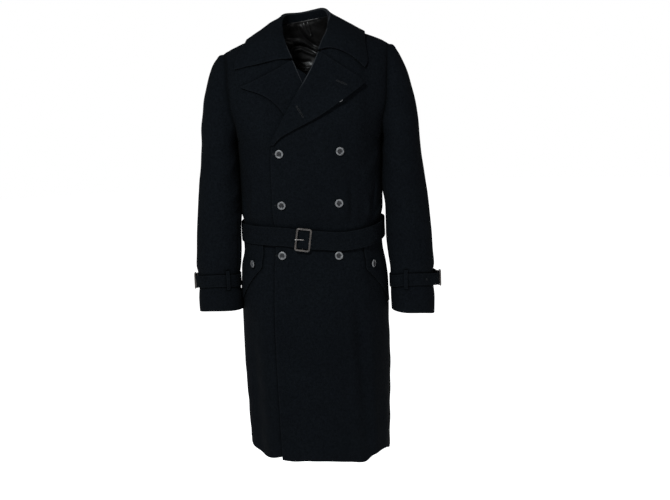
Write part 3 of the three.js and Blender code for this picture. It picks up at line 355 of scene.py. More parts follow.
def give_values(mesh, name, values):
    """One number for each point of a mesh, which its finish reads by that name."""
    layer = mesh.attributes.new(name, "FLOAT", "POINT")
    layer.data.foreach_set("value", np.asarray(values, dtype=np.float32))


def new_piece(name, mesh):
    piece = bpy.data.objects.new(name, mesh)
    bpy.context.scene.collection.objects.link(piece)
    return piece


def evaluated(piece):
    """The piece with its modifiers made real."""
    bpy.context.view_layer.update()
    graph = bpy.context.evaluated_depsgraph_get()
    mesh = bpy.data.meshes.new_from_object(piece.evaluated_get(graph))
    piece.modifiers.clear()
    piece.data = mesh
    return piece


def smooth_faces(mesh):
    mesh.polygons.foreach_set("use_smooth", [True] * len(mesh.polygons))
    mesh.update()


def tree_of(places):
    tree = KDTree(len(places))
    for number, place in enumerate(places):
        tree.insert(place, number)
    tree.balance()
    return tree


# ---------------------------------------------------------------- cloth pieces

def cut_strips(work, strips, name):
    """Cuts a strap's mesh along its length, and draws it in along every second line."""
    share = work.verts.layers.float.new("share")
    tall = [edge for edge in work.edges if abs(edge.verts[0].co.z - edge.verts[1].co.z) > 0.010]
    for edge in tall:
        for vert in edge.verts:
            vert[share] = 1.0 if vert.co.z > edge.other_vert(vert).co.z else 0.0
    bmesh.ops.subdivide_edges(work, edges=tall, cuts=strips - 1, use_grid_fill=True)
    work.normal_update()
    work.verts.index_update()
    row_of = {vert: round(vert[share] * strips) for vert in work.verts}
    for vert, row in row_of.items():
        if 0 < row < strips:
            vert.co += vert.normal * (-ROW_DEPTH if row % 2 else ROW_CREST)
    out = outward(name, [vert.co for vert in work.verts])
    faces_out = {vert: vert.normal.dot(Vector(out[vert.index])) > 0.3 for vert in work.verts}
    sewn = []
    for edge in work.edges:
        first, second = edge.verts
        if row_of[first] == row_of[second] and row_of[first] % 2 and faces_out[first] and faces_out[second]:
            sewn.append((first.index, second.index))
    return sewn


def cage_of(name, strips=0):
    """A node's mesh as merged quads with its sharp edges creased, and the edges to sew along."""
    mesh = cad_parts[name].data.copy()
    work = bmesh.new()
    work.from_mesh(mesh)
    bmesh.ops.remove_doubles(work, verts=work.verts, dist=2e-6)
    bmesh.ops.join_triangles(work, faces=work.faces, angle_face_threshold=math.radians(50),
                             angle_shape_threshold=math.radians(75), cmp_seam=False,
                             cmp_sharp=False, cmp_uvs=False, cmp_vcols=False, cmp_materials=False)
    sewn = cut_strips(work, strips, name) if strips else []
    crease = work.edges.layers.float.get("crease_edge") or work.edges.layers.float.new("crease_edge")
    for edge in work.edges:
        if len(edge.link_faces) == 2 and edge.calc_face_angle(0) > SHARP:
            edge[crease] = 1.0
    work.to_mesh(mesh)
    work.free()
    return mesh, sewn


def rounded(name, cage, levels):
    """A rounded piece that still passes through its cage's corners, which come first in it."""
    wanted = points_of(cage)
    corners = wanted.copy()
    for halvings in (1, 1, levels):
        set_points(cage, corners)
        piece = new_piece(name, cage.copy())
        modifier = piece.modifiers.new("round", "SUBSURF")
        modifier.levels = modifier.render_levels = halvings
        evaluated(piece)
        corners += wanted - points_of(piece.data)[:len(wanted)]
        if halvings != levels:
            bpy.data.objects.remove(piece)
    return piece


def sharp_points(mesh):
    """Places close together along a mesh's sharp edges."""
    work = bmesh.new()
    work.from_mesh(mesh)
    work.normal_update()
    found = []
    for edge in work.edges:
        if len(edge.link_faces) == 2 and edge.calc_face_angle(0) > SHARP:
            first, second = (vert.co for vert in edge.verts)
            count = max(1, math.ceil((first - second).length / EDGE_SPACING))
            found += [first.lerp(second, step / count) for step in range(count)]
    work.free()
    return found


def distances(places, tree, limit):
    """Distance in mm of each place from the nearest point of a tree, up to a limit."""
    if tree is None:
        return np.full(len(places), limit)
    return np.minimum([tree.find(place)[2] / MM for place in places], limit)


def parted(name, edges, trees):
    """Edge points of a piece in three lists: armhole seams, other seams and free edges."""
    armhole, seam, free = [], [], []
    for place in edges:
        gap, other = min((trees[other].find(place)[2], other) for other in SHELL_PIECES if other != name)
        if gap > SEAM_GAP * MM:
            free.append(place)
        elif name.startswith("sleeve") != other.startswith("sleeve"):
            armhole.append(place)
        else:
            seam.append(place)
    return armhole, seam, free


def folded(mesh, places, normals):
    """How strongly the cloth is folded over at each point: 0 flat, 1 round a soft sharp fold."""
    pairs = np.empty(len(mesh.edges) * 2, dtype=int)
    mesh.edges.foreach_get("vertices", pairs)
    first, second = pairs.reshape(-1, 2).T
    step = places[second] - places[first]
    squared = np.maximum((step**2).sum(1), 1e-12)
    turn = ((normals[second] - normals[first]) * step).sum(1) / squared * MM
    sharpest = np.zeros(len(places))
    np.maximum.at(sharpest, first, turn)
    np.maximum.at(sharpest, second, turn)
    return smooth(FOLDED_FROM, FOLDED_TO, sharpest)


def build_cloth():
    """All cloth pieces with their folds, their seams drawn in and their edges rounded."""
    pieces, rows, edges = {}, {}, {}
    for name, plan in CLOTH.items():
        cage, sewn = cage_of(name, plan.get("strips", 0))
        piece = rounded(name + "_cloth", cage, plan["levels"])
        places = points_of(piece.data)
        set_points(piece.data, places + shift(name, places))
        rows[name] = (points_of(piece.data)[:len(cage.vertices)], sewn)
        pieces[name], edges[name] = piece, sharp_points(piece.data)
    trees = {name: tree_of(edges[name]) for name in SHELL_PIECES}
    armhole, seam, free = [], [], {}
    for name in SHELL_PIECES:
        at_armhole, at_seam, free[name] = parted(name, edges[name], trees)
        armhole += at_armhole
        seam += at_seam
    armhole, seam = tree_of(armhole), tree_of(seam)
    for name, piece in pieces.items():
        in_shell = name in SHELL_PIECES
        if in_shell:
            draw_in(name, piece, armhole, seam)
        finish_edges(piece)
        edge = tree_of(free.get(name, edges[name]))
        give_cloth_values(name, piece, (armhole, seam) if in_shell else (), edge)
        # Painted shade: mm from the edges of pieces lying on this one, and for the shell the scaled gap
        # between sleeve and body; the wool is painted darker near them.
        own, over = tree_of(edges[name]), []
        for other in LAYERS.get(name, []):
            over += [place for place in free.get(other, edges[other]) if own.find(place)[2] > LAYER_GAP * MM]
        beneath = distances(points_of(piece.data), tree_of(over) if over else None, FAR)
        if in_shell:
            beneath = np.minimum(beneath, between(name, piece, pieces))
        give_values(piece.data, "beneath", beneath)
    return pieces, rows


def between(name, piece, pieces):
    """How near a sleeve's cloth is to the body's below the armholes, scaled as an edge in mm, for the
    painted shade between them.
    """
    sleeve = name.startswith("sleeve")
    others = [other for other in SHELL_PIECES if other.startswith("sleeve") != sleeve]
    near = tree_of(np.concatenate([points_of(pieces[other].data)[::EVERY] for other in others]))
    places = points_of(piece.data)
    facing = distances(places, near, EDGE_FAR) * SHADE_GAP_SHARE
    return np.where(places[:, 2] < BELOW_ARMHOLE, np.maximum(facing - SHADE_GAP_START, 0), FAR)


def draw_in(name, piece, armhole, seam):
    """Sinks a piece along its seams, and lays a sleeve's end against the body."""
    places = points_of(piece.data)
    near_armhole = distances(places, armhole, FAR)
    near_seam = distances(places, seam, FAR)
    sleeve = name.startswith("sleeve")
    if sleeve:
        near_seam = np.where(places[:, 2] < UNDERARM, FAR, near_seam)
        places[:, 0] -= side_of(name) * SLEEVE_PULL * MM * bell(near_armhole, PULL_REACH)
    if name == "back":
        places[:, 1] -= BACK_PULL * MM * bell(near_seam, PULL_REACH)
    in_corner = bell(near_armhole, CORNER_REACH) * bell(near_seam, CORNER_REACH)
    corner = CORNER_PULL[name] * MM * in_corner * (places[:, 2] > UNDERARM)
    if sleeve:
        places[:, 0] -= side_of(name) * corner
    else:
        places[:, 1] += corner * (-1 if name == "back" else 1)
    for way, near in ((armhole_outward, near_armhole), (body_outward, near_seam)):
        sunk = SEAM_TROUGH * bell(near, SEAM_REACH)
        places = places - way(places / MM) * sunk[:, None] * MM
    set_points(piece.data, places)


def finish_edges(piece):
    edge = piece.modifiers.new("edge", "BEVEL")
    edge.width, edge.segments, edge.limit_method, edge.angle_limit = EDGE_ROUNDING, 2, "ANGLE", SHARP
    evaluated(piece)
    smooth_faces(piece.data)


def give_cloth_values(name, piece, seams, free):
    """What the finish reads: mm from a seam and from a free edge, and how folded the cloth is, for painted
    shade along seams and a painted highlight on upper folds and edges.
    """
    mesh = piece.data
    places, normals = points_of(mesh), triples(mesh.vertex_normals, "vector")
    from_edge = distances(places, free, EDGE_FAR)
    from_seam = np.full(len(places), FAR)
    for seam in seams:
        from_seam = np.minimum(from_seam, distances(places, seam, FAR))
    give_values(mesh, "from_seam", from_seam)
    give_values(mesh, "from_edge", from_edge)
    # Painted highlight: only folds above a height and away from free edges are painted paler.
    paler_share = (from_edge > FOLD_HIGHLIGHT_OFF_EDGE) * smooth(FOLD_HIGHLIGHT_FROM, FOLD_HIGHLIGHT_FULLY, places[:, 2])
    give_values(mesh, "folded", folded(mesh, places, normals) * paler_share)
    mesh.materials.clear()
    mesh.materials.append(WOOL)
    if name in SHELL_PIECES:
        mesh.materials.append(SATIN)
        centres, facing = triples(mesh.polygons, "center"), triples(mesh.polygons, "normal")
        inside = (facing * outward(name, centres)).sum(1) < INWARDS
        deep = distances(centres, free, EDGE_FAR) * MM > LINING_EDGE
        mesh.polygons.foreach_set("material_index", (inside & deep).astype(int))


# ---------------------------------------------------------------- finishes

class Value:
    """A socket that can be reckoned with."""

    def __init__(self, finish, socket):
        self.finish, self.socket = finish, socket

    def _with(self, operation, other, swap=False):
        pair = (other, self) if swap else (self, other)
        return self.finish.math(operation, *pair)

    def __add__(self, other):
        return self._with("ADD", other)

    def __sub__(self, other):
        return self._with("SUBTRACT", other)

    def __rsub__(self, other):
        return self._with("SUBTRACT", other, swap=True)

    def __mul__(self, other):
        return self._with("MULTIPLY", other)

    def __truediv__(self, other):
        return self._with("DIVIDE", other)

    def __rtruediv__(self, other):
        return self._with("DIVIDE", other, swap=True)

    __radd__ = __add__
    __rmul__ = __mul__


class Finish:
    """One material and the nodes that make it."""

    def __init__(self, name):
        self.material = bpy.data.materials.new(name)
        self.material.use_nodes = True
        self.tree = self.material.node_tree
        self.shader = self.tree.nodes["Principled BSDF"]

    def node(self, kind, settings=None, output=0, **inputs):
        """A node of a type, its settings, and its sockets by name or number."""
        made = self.tree.nodes.new(kind)
        for key, value in (settings or {}).items():
            if key == "stops":
                ramp = made.color_ramp
                while len(ramp.elements) < len(value):
                    ramp.elements.new(0.5)
                for element, (place, colour) in zip(ramp.elements, value):
                    element.position, element.color = place, colour
            else:
                setattr(made, key, value)
        for key, value in inputs.items():
            socket = made.inputs[int(key[1:]) if key[1:].isdigit() else key.replace("_", " ")]
            self.feed(socket, value)
        return Value(self, made.outputs[output])

    def feed(self, socket, value):
        if isinstance(value, Value):
            self.tree.links.new(value.socket, socket)
        else:
            socket.default_value = value

    def math(self, operation, first, second=0.0):
        return self.node("ShaderNodeMath", {"operation": operation}, i0=first, i1=second)

    def fading(self, distance, reach):
        """1 where the distance is nothing, fading out over the reach."""
        return self.math("EXPONENT", distance * (-1.0 / reach))

    def mix(self, share, first, second):
        return self.node("ShaderNodeMix", {"data_type": "RGBA"}, output=2, i0=share, i6=first, i7=second)

    def value_of(self, name):
        return self.node("ShaderNodeAttribute", {"attribute_name": name}, output=2)

    def place(self, scale=(1, 1, 1)):
        """Where a point lies in the object's own coordinates."""
        spot = self.node("ShaderNodeTexCoord", output=3)
        return self.node("ShaderNodeMapping", Vector=spot, Scale=scale)

    def noise(self, place, scale, detail=3.0, rough=0.5):
        return self.node("ShaderNodeTexNoise", Vector=place, Scale=scale, Detail=detail, Roughness=rough)

    def ramp(self, value, low, high):
        stops = [(low, (0, 0, 0, 1)), (high, (1, 1, 1, 1))]
        return self.node("ShaderNodeValToRGB", {"stops": stops}, Fac=value)

    def bump(self, height, distance, strength=1.0, under=None):
        made = self.node("ShaderNodeBump", Height=height, Distance=distance, Strength=strength)
        if under is not None:
            self.feed(made.socket.node.inputs["Normal"], under)
        return made

    def give(self, **inputs):
        for key, value in inputs.items():
            self.feed(self.shader.inputs[key.replace("_", " ")], value)
        return self.material


def wool_cloth(name):
    """Felted wool coating: near black with a cool cast, with a painted highlight on upper folds and along
    free edges, and painted shade along seams, round other pieces' edges and between sleeve and body.
    """
    wool = Finish(name)
    place = wool.place()
    fibres = wool.noise(wool.place(scale=(1.0, 1.0, 0.35)), 900.0, 4.0, 0.65)
    felt = wool.noise(place, 170.0, 4.0, 0.6)
    clouds = wool.noise(place, 11.0, 3.0, 0.55)
    nap = wool.mix(wool.ramp(fibres * 0.5 + felt * 0.5, 0.36, 0.66), (0.0010, 0.0014, 0.0019, 1),
                   (0.0029, 0.0038, 0.0050, 1))
    shaded = wool.mix(wool.ramp(clouds, 0.3, 0.7) * 0.30, nap, (0.0010, 0.0012, 0.0017, 1))
    # Painted shade: near black along seams, round the edges of pieces lying on the cloth, and where sleeve
    # and body hang close.
    seam = wool.fading(wool.value_of("from_seam"), 4.0) * 0.7
    shade_under_edges = wool.fading(wool.value_of("beneath"), 2.4) * 1.2
    with_painted_shade = wool.mix(wool.math("MINIMUM", seam + shade_under_edges, 0.95), shaded, (0.0001, 0.0002, 0.0002, 1))
    # Painted highlight: paler colour on fold crests near the neck and in a thin band along free edges,
    # standing in for sheen.
    paler_share = wool.value_of("folded") * 0.8 + wool.fading(wool.value_of("from_edge"), 1.2) * 0.09
    with_painted_highlight = wool.mix(paler_share, with_painted_shade, (0.013, 0.014, 0.016, 1))
    relief = wool.bump(fibres, 0.0005, 0.5, under=wool.bump(felt, 0.0009, 0.5))
    return wool.give(Base_Color=with_painted_highlight, Roughness=0.85 + felt * 0.15, Normal=relief,
                     Sheen_Weight=0.002, Sheen_Roughness=0.5, Specular_IOR_Level=0.015)


def satin_lining(name):
    """Smooth lining with a fine drawn thread."""
    satin = Finish(name)
    threads = satin.noise(satin.place(scale=(1.0, 1.0, 0.06)), 1500.0, 2.0)
    clouds = satin.noise(satin.place(), 30.0, 3.0)
    colour = satin.mix(clouds, (0.0015, 0.0015, 0.0015, 1), (0.0034, 0.0032, 0.0032, 1))
    return satin.give(Base_Color=colour, Roughness=0.36 + threads * 0.14,
                      Normal=satin.bump(threads, 0.0002, 0.3), Specular_IOR_Level=0.19)


def horn_button(name):
    """Polished grey-brown horn: pale round the rim, dark and cloudy in the dish."""
    horn = Finish(name)
    veins = horn.noise(horn.place(), 190.0, 5.0, 0.6)
    dish = horn.mix(horn.ramp(veins, 0.38, 0.66), (0.002, 0.002, 0.003, 1), (0.012, 0.013, 0.015, 1))
    rim = horn.mix(horn.ramp(veins, 0.35, 0.62), (0.032, 0.034, 0.037, 1), (0.105, 0.107, 0.110, 1))
    outer = horn.ramp(horn.value_of("radius"), 0.55, 0.67)
    return horn.give(Base_Color=horn.mix(outer, dish, rim), Roughness=0.30 + veins * 0.16,
                     Specular_IOR_Level=0.28, Normal=horn.bump(veins, 0.0002, 0.25))


def buckle_leather(name):
    """Smooth black-brown leather drawn over a stiff frame, paler along its edges from rubbing."""
    hide = Finish(name)
    place = hide.place()
    grain = hide.node("ShaderNodeTexVoronoi", {"feature": "DISTANCE_TO_EDGE"}, Vector=place, Scale=1300.0)
    wear = hide.noise(place, 90.0, 4.0)
    plain = hide.mix(hide.ramp(wear, 0.4, 0.7), (0.010, 0.008, 0.007, 1), (0.034, 0.028, 0.024, 1))
    paler_share = hide.ramp(hide.value_of("rounded"), 0.55, 0.95) * 0.65
    return hide.give(Base_Color=hide.mix(paler_share, plain, (0.075, 0.066, 0.060, 1)),
                     Roughness=0.34 + wear * 0.2, Specular_IOR_Level=0.5,
                     Normal=hide.bump(grain, 0.0002, 0.35))


def prong_metal(name):
    """Worn steel, a little tarnished."""
    metal = Finish(name)
    tarnish = metal.noise(metal.place(), 240.0, 4.0)
    colour = metal.mix(metal.ramp(tarnish, 0.35, 0.7), (0.20, 0.19, 0.18, 1), (0.42, 0.41, 0.40, 1))
    return metal.give(Base_Color=colour, Metallic=1.0, Roughness=0.28 + tarnish * 0.2)


def sewing_thread(name, dark, pale):
    """Twisted thread between two colours."""
    thread = Finish(name)
    twist = thread.noise(thread.place(), 2600.0, 2.0)
    return thread.give(Base_Color=thread.mix(twist, dark, pale), Roughness=0.6 + twist * 0.2,
                       Specular_IOR_Level=0.05)


WOOL = wool_cloth("wool")
SATIN = satin_lining("lining")
HORN = horn_button("horn")
HIDE = buckle_leather("leather")
METAL = prong_metal("prong_metal")
THREAD = sewing_thread("thread", (0.0010, 0.0013, 0.0017, 1), (0.0030, 0.0037, 0.0046, 1))
HOLE_THREAD = sewing_thread("hole_thread", (0.0045, 0.0052, 0.0060, 1), (0.0100, 0.0108, 0.0120, 1))
BUTTON_THREAD = sewing_thread("button_thread", (0.012, 0.013, 0.015, 1), (0.040, 0.041, 0.044, 1))


# ---------------------------------------------------------------- sewing

def stitching():
    """Geometry Nodes: stitches of one size, laid end to end or side by side along every path."""
    tree = bpy.data.node_groups.new("stitching", "GeometryNodeTree")
    sockets = {}
    for label, kind in [("Paths", "Geometry"), ("Step", "Float"), ("Length", "Float"), ("Width", "Float"),
                        ("Turn", "Float"), ("Thread", "Material")]:
        made = tree.interface.new_socket(label, in_out="INPUT", socket_type="NodeSocket" + kind)
        sockets[label] = made.identifier
    tree.interface.new_socket("Stitches", in_out="OUTPUT", socket_type="NodeSocketGeometry")

    def node(kind, settings=None, **links):
        made = tree.nodes.new(kind)
        for key, value in (settings or {}).items():
            setattr(made, key, value)
        for key, value in links.items():
            socket = made.inputs[key.replace("_", " ")]
            if isinstance(value, bpy.types.NodeSocket):
                tree.links.new(value, socket)
            else:
                socket.default_value = value
        return made

    given = node("NodeGroupInput").outputs
    curve = node("GeometryNodeMeshToCurve", Mesh=given["Paths"]).outputs[0]
    soft = node("GeometryNodeCurveSplineType", {"spline_type": "CATMULL_ROM"}, Curve=curve).outputs[0]
    even = node("GeometryNodeResampleCurve", {"mode": "LENGTH"}, Curve=soft, Length=given["Step"])
    tangent = node("GeometryNodeInputTangent").outputs[0]
    up = node("GeometryNodeInputNamedAttribute", {"data_type": "FLOAT_VECTOR"}, Name="up").outputs[0]
    along = node("FunctionNodeAlignRotationToVector", {"axis": "X"}, Vector=tangent).outputs[0]
    standing = node("FunctionNodeAlignRotationToVector", {"axis": "Z", "pivot_axis": "X"},
                    Rotation=along, Vector=up).outputs[0]
    turn = node("FunctionNodeAxisAngleToRotation", Axis=(0.0, 0.0, 1.0), Angle=given["Turn"]).outputs[0]
    placed = node("FunctionNodeRotateRotation", {"rotation_space": "LOCAL"}, Rotation=standing,
                  Rotate_By=turn).outputs[0]
    size = node("ShaderNodeCombineXYZ", X=given["Length"], Y=given["Width"], Z=given["Width"]).outputs[0]
    bead = node("GeometryNodeMeshUVSphere", Segments=6, Rings=4, Radius=0.5).outputs[0]
    laid = node("GeometryNodeInstanceOnPoints", Points=even.outputs[0], Instance=bead, Rotation=placed,
                Scale=size).outputs[0]
    real = node("GeometryNodeRealizeInstances", Geometry=laid).outputs[0]
    coloured = node("GeometryNodeSetMaterial", Geometry=real, Material=given["Thread"]).outputs[0]
    result = tree.nodes.new("NodeGroupOutput")
    tree.links.new(coloured, result.inputs[0])
    return tree, sockets


STITCHING, STITCH_INPUTS = stitching()


def sewn_piece(name, paths, step, length, width, turn=0.0, thread=THREAD):
    """Stitches along paths; a path is a list of (place, up) pairs."""
    mesh = bpy.data.meshes.new(name)
    places = [place for path in paths for place, _ in path]
    links, first = [], 0
    for path in paths:
        links += [(first + number, first + number + 1) for number in range(len(path) - 1)]
        first += len(path)
    mesh.from_pydata(places, links, [])
    layer = mesh.attributes.new("up", "FLOAT_VECTOR", "POINT")
    layer.data.foreach_set("vector", np.array([up for path in paths for _, up in path]).ravel())
    piece = new_piece(name, mesh)
    modifier = piece.modifiers.new("stitching", "NODES")
    modifier.node_group = STITCHING
    for label, value in [("Step", step), ("Length", length), ("Width", width), ("Turn", turn),
                         ("Thread", thread)]:
        modifier[STITCH_INPUTS[label]] = value
    evaluated(piece)
    smooth_faces(piece.data)
    return piece


def chains(pairs):
    """Pairs of linked numbers as chains of numbers."""
    links = {}
    for first, second in pairs:
        links.setdefault(first, []).append(second)
        links.setdefault(second, []).append(first)
    found, used = [], set()
    ends = [number for number, near in links.items() if len(near) == 1] + list(links)
    for start in ends:
        if start in used:
            continue
        chain = [start]
        used.add(start)
        while True:
            ahead = [near for near in links[chain[-1]] if near not in used]
            if not ahead:
                break
            chain.append(ahead[0])
            used.add(ahead[0])
        if len(chain) > 1:
            found.append(chain)
    return found


def row_paths(name, rows, lift=0.15):
    """The sewn rows of a strap as paths just above its grooves."""
    places, pairs = rows[name]
    out = outward(name, places)
    return [[(places[i] + out[i] * lift * MM, out[i]) for i in chain] for chain in chains(pairs)]


IN_FRONT, BACKWARDS = -0.4, (0, 1, 0)      # a place before the coat, and the way to its back


class Ground:
    """The outside of finished pieces, to lay things on."""

    def __init__(self, *pieces):
        self.trees = []
        for piece in pieces:
            mesh = piece.data
            faces = [tuple(face.vertices) for face in mesh.polygons]
            self.trees.append(BVHTree.FromPolygons([v.co for v in mesh.vertices], faces))

    def met(self, start, way):
        """The first place and its normal that a straight line meets."""
        hits = [tree.ray_cast(Vector(start), Vector(way)) for tree in self.trees]
        hits = [hit for hit in hits if hit[0] is not None]
        if not hits:
            return None
        place, normal, _, _ = min(hits, key=lambda hit: hit[3])
        return place, normal

    def path(self, spots, lift):
        """A path over the ground behind spots (x, height) in mm, seen from the front."""
        found = [self.met((x * MM, IN_FRONT, z * MM), BACKWARDS) for x, z in spots]
        return [(place + normal * lift * MM, normal) for place, normal in filter(None, found)]


# ---------------------------------------------------------------- hard pieces

def oval_bar(path, up, wide, thick, closed=False, sides=12, taper=None):
    """A bar of oval section along a path: places, faces and how rounded it is there, 0 to 1."""
    path = np.asarray(path, dtype=float)
    count = len(path)
    ahead = np.roll(path, -1, 0) if closed else np.vstack([path[1:], path[-1:]])
    behind = np.roll(path, 1, 0) if closed else np.vstack([path[:1], path[:-1]])
    tangent = ahead - behind
    tangent /= np.linalg.norm(tangent, axis=1)[:, None]
    side = np.cross(tangent, up)
    side /= np.linalg.norm(side, axis=1)[:, None]
    rise = np.cross(side, tangent)
    scale = np.ones(count) if taper is None else np.asarray(taper, dtype=float)
    turns = np.arange(sides) * 2 * math.pi / sides
    places, faces, rounding = [], [], []
    for k in range(count):
        for turn in turns:
            reach = side[k] * wide / 2 * math.cos(turn) + rise[k] * thick / 2 * math.sin(turn)
            places.append(path[k] + reach * scale[k])
            rounding.append(abs(math.cos(turn)))
    for k in range(count if closed else count - 1):
        near, far = k * sides, (k + 1) % count * sides
        for j in range(sides):
            after = (j + 1) % sides
            faces.append((near + j, near + after, far + after, far + j))
    if not closed:
        faces.append(tuple(range(sides))[::-1])
        faces.append(tuple((count - 1) * sides + j for j in range(sides)))
    return np.array(places), faces, rounding


def joined_piece(name, parts, finish):
    """One piece from bars of places, faces and how rounded they are, in metres, facing outwards."""
    places, faces, values = [], [], []
    for part_places, part_faces, part_values in parts:
        first = len(places)
        places += [tuple(place) for place in part_places]
        faces += [tuple(first + corner for corner in face) for face in part_faces]
        values += list(part_values)
    mesh = bpy.data.meshes.new(name)
    mesh.from_pydata(places, [], faces)
    work = bmesh.new()
    work.from_mesh(mesh)
    bmesh.ops.recalc_face_normals(work, faces=work.faces)
    work.to_mesh(mesh)
    work.free()
    give_values(mesh, "rounded", values)
    smooth_faces(mesh)
    mesh.materials.append(finish)
    return new_piece(name, mesh)


class Seat:
    """Where a small hard node lies: its middle, its axes across, up and out, and its size."""

    def __init__(self, node):
        places = points_of(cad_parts[node].data)
        centred = places - (places.max(0) + places.min(0)) / 2
        axes = np.linalg.eigh(np.cov(centred.T))[1]
        rough = (places.max(0) + places.min(0)) / 2
        away = outward(node, rough[None])[0]
        out = axes[:, 0] * (1 if axes[:, 0] @ away > 0 else -1)
        across = np.cross((0, 0, 1.0), out)
        up = axes[:, 2]
        if node.startswith("button"):
            up = np.cross(out, across)
        up = up * (1 if up[2] > 0 else -1)
        up -= out * (up @ out)
        up /= np.linalg.norm(up)
        self.axes = np.column_stack([np.cross(up, out), up, out])
        local = places @ self.axes
        low, high = local.min(0), local.max(0)
        self.size = high - low
        self.low = self.axes @ ((low + high) / 2 * (1, 1, 0) + low * (0, 0, 1))
        self.low = self.low + shift(node, self.low[None])[0]

    def laid(self, places, tilt=0.0, lift=0.0):
        """Places given in the node's own axes from the middle of its underside, in metres."""
        turned = np.asarray(places) @ np.array(Matrix.Rotation(tilt, 3, "Y")).T
        return self.low + (turned + (0, 0, lift)) @ self.axes.T


# Section of a button from the middle of its dish to the middle of its back: radius and height.
BUTTON_PROFILE = [(0.0, 0.44), (0.24, 0.43), (0.44, 0.44), (0.52, 0.54), (0.58, 0.80), (0.66, 0.96),
                  (0.80, 1.0), (0.93, 0.92), (0.99, 0.70), (1.0, 0.48), (0.96, 0.22), (0.84, 0.04),
                  (0.60, 0.0), (0.0, 0.0)]
BUTTON_HOLES = [(-2.0, -2.0), (2.0, -2.0), (2.0, 2.0), (-2.0, 2.0)]
HOLE_RADIUS = 1.05
TURNED_STEPS, HOLE_SIDES = 40, 16
# A bar of thread between two holes: across in mm, and height as a share of the button's.
THREAD_ARCH = [(-2.0, 0.30), (-1.7, 0.56), (0, 0.66), (1.7, 0.56), (2.0, 0.30)]


def turned_button(radius, thick):
    """A four-hole button on its back, in metres, with its holes cut through."""
    work = bmesh.new()
    profile = [work.verts.new((r * radius, 0, h * thick)) for r, h in BUTTON_PROFILE]
    edges = [work.edges.new(pair) for pair in zip(profile, profile[1:])]
    bmesh.ops.spin(work, geom=profile + edges, cent=(0, 0, 0), axis=(0, 0, 1),
                   angle=2 * math.pi, steps=TURNED_STEPS, use_merge=True)
    bmesh.ops.remove_doubles(work, verts=work.verts, dist=1e-6)
    bmesh.ops.recalc_face_normals(work, faces=work.faces)
    mesh = bpy.data.meshes.new("button")
    work.to_mesh(mesh)
    work.free()
    drill = bmesh.new()
    for x, y in BUTTON_HOLES:
        at = Matrix.Translation((x * MM, y * MM, thick / 2))
        bmesh.ops.create_cone(drill, cap_ends=True, segments=HOLE_SIDES, radius1=HOLE_RADIUS * MM,
                              radius2=HOLE_RADIUS * MM, depth=thick * 3, matrix=at)
    drill_mesh = bpy.data.meshes.new("drill")
    drill.to_mesh(drill_mesh)
    drill.free()
    button, tool = new_piece("button", mesh), new_piece("drill", drill_mesh)
    cut = button.modifiers.new("holes", "BOOLEAN")
    cut.object, cut.operation, cut.solver = tool, "DIFFERENCE", "EXACT"
    evaluated(button)
    bpy.data.objects.remove(tool)
    made = button.data
    bpy.data.objects.remove(button)
    return made


# Flap buttons are smaller and turn to the side on their threads.
FLAP_BUTTON = {"scale": 0.84, "tilt": math.radians(24), "lift": 0.0014}
BODY_BUTTON = {"scale": 0.91, "tilt": 0.0, "lift": 0.0}
TUCKED_BUTTON = {"scale": 0.83, "tilt": 0.0, "lift": -0.0008}    # under the lapel's lower edge


def build_buttons(pieces):
    """Horn buttons in their places, each with two bars of thread through its holes."""
    seats = {name: Seat(name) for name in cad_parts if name.startswith("button")}
    first = next(iter(seats.values()))
    radius, thick = first.size[1] / 2, first.size[2]
    pattern = turned_button(radius, thick)
    shape = points_of(pattern)
    for name, seat in seats.items():
        plan = FLAP_BUTTON if name.startswith("button_flap") else BODY_BUTTON
        plan = TUCKED_BUTTON if name == "button_top_left" else plan
        scale, tilt, lift = plan["scale"], plan["tilt"] * side_of(name), plan["lift"]
        mesh = pattern.copy()
        give_values(mesh, "radius", np.hypot(shape[:, 0], shape[:, 1]) / radius)
        set_points(mesh, seat.laid(shape * scale, tilt, lift))
        mesh.materials.clear()
        mesh.materials.append(HORN)
        smooth_faces(mesh)
        mesh.set_sharp_from_angle(angle=math.radians(50))
        pieces[name] = new_piece(name + "_horn", mesh)
        bars = []
        for y in (-2.0, 2.0):
            path = [(x * MM, y * MM, h * thick) for x, h in THREAD_ARCH]
            places, faces, rounding = oval_bar(path, (0, 0, 1), *THREAD_BAR, sides=8)
            bars.append((seat.laid(places * scale, tilt, lift), faces, rounding))
        pieces[name + "_thread"] = joined_piece(name + "_thread", bars, BUTTON_THREAD)


BELT_BUCKLE = {"bar": 0.0043, "thick": 0.0040, "middle": 0.0034, "low": 0.0012, "slim": 0.93}
CUFF_BUCKLE = {"bar": 0.0036, "thick": 0.0032, "middle": 0.0028, "low": 0.0012, "slim": 1.0}
# The prong from the middle bar over the frame: across and height over the top of the frame.
PRONG = [(1.5, -4.4), (-3, -4.2), (-8, -3.6), (-11, -1.6), (-13.2, 0.6), (-16, 1.7), (-19, 1.6),
         (-20.6, 0.9)]
# Width and thickness of the bars, in metres.
PRONG_BAR = (0.0021, 0.0023)
THREAD_BAR = (0.0015, 0.0009)
HANGER_BAR = (0.0042, 0.0012)


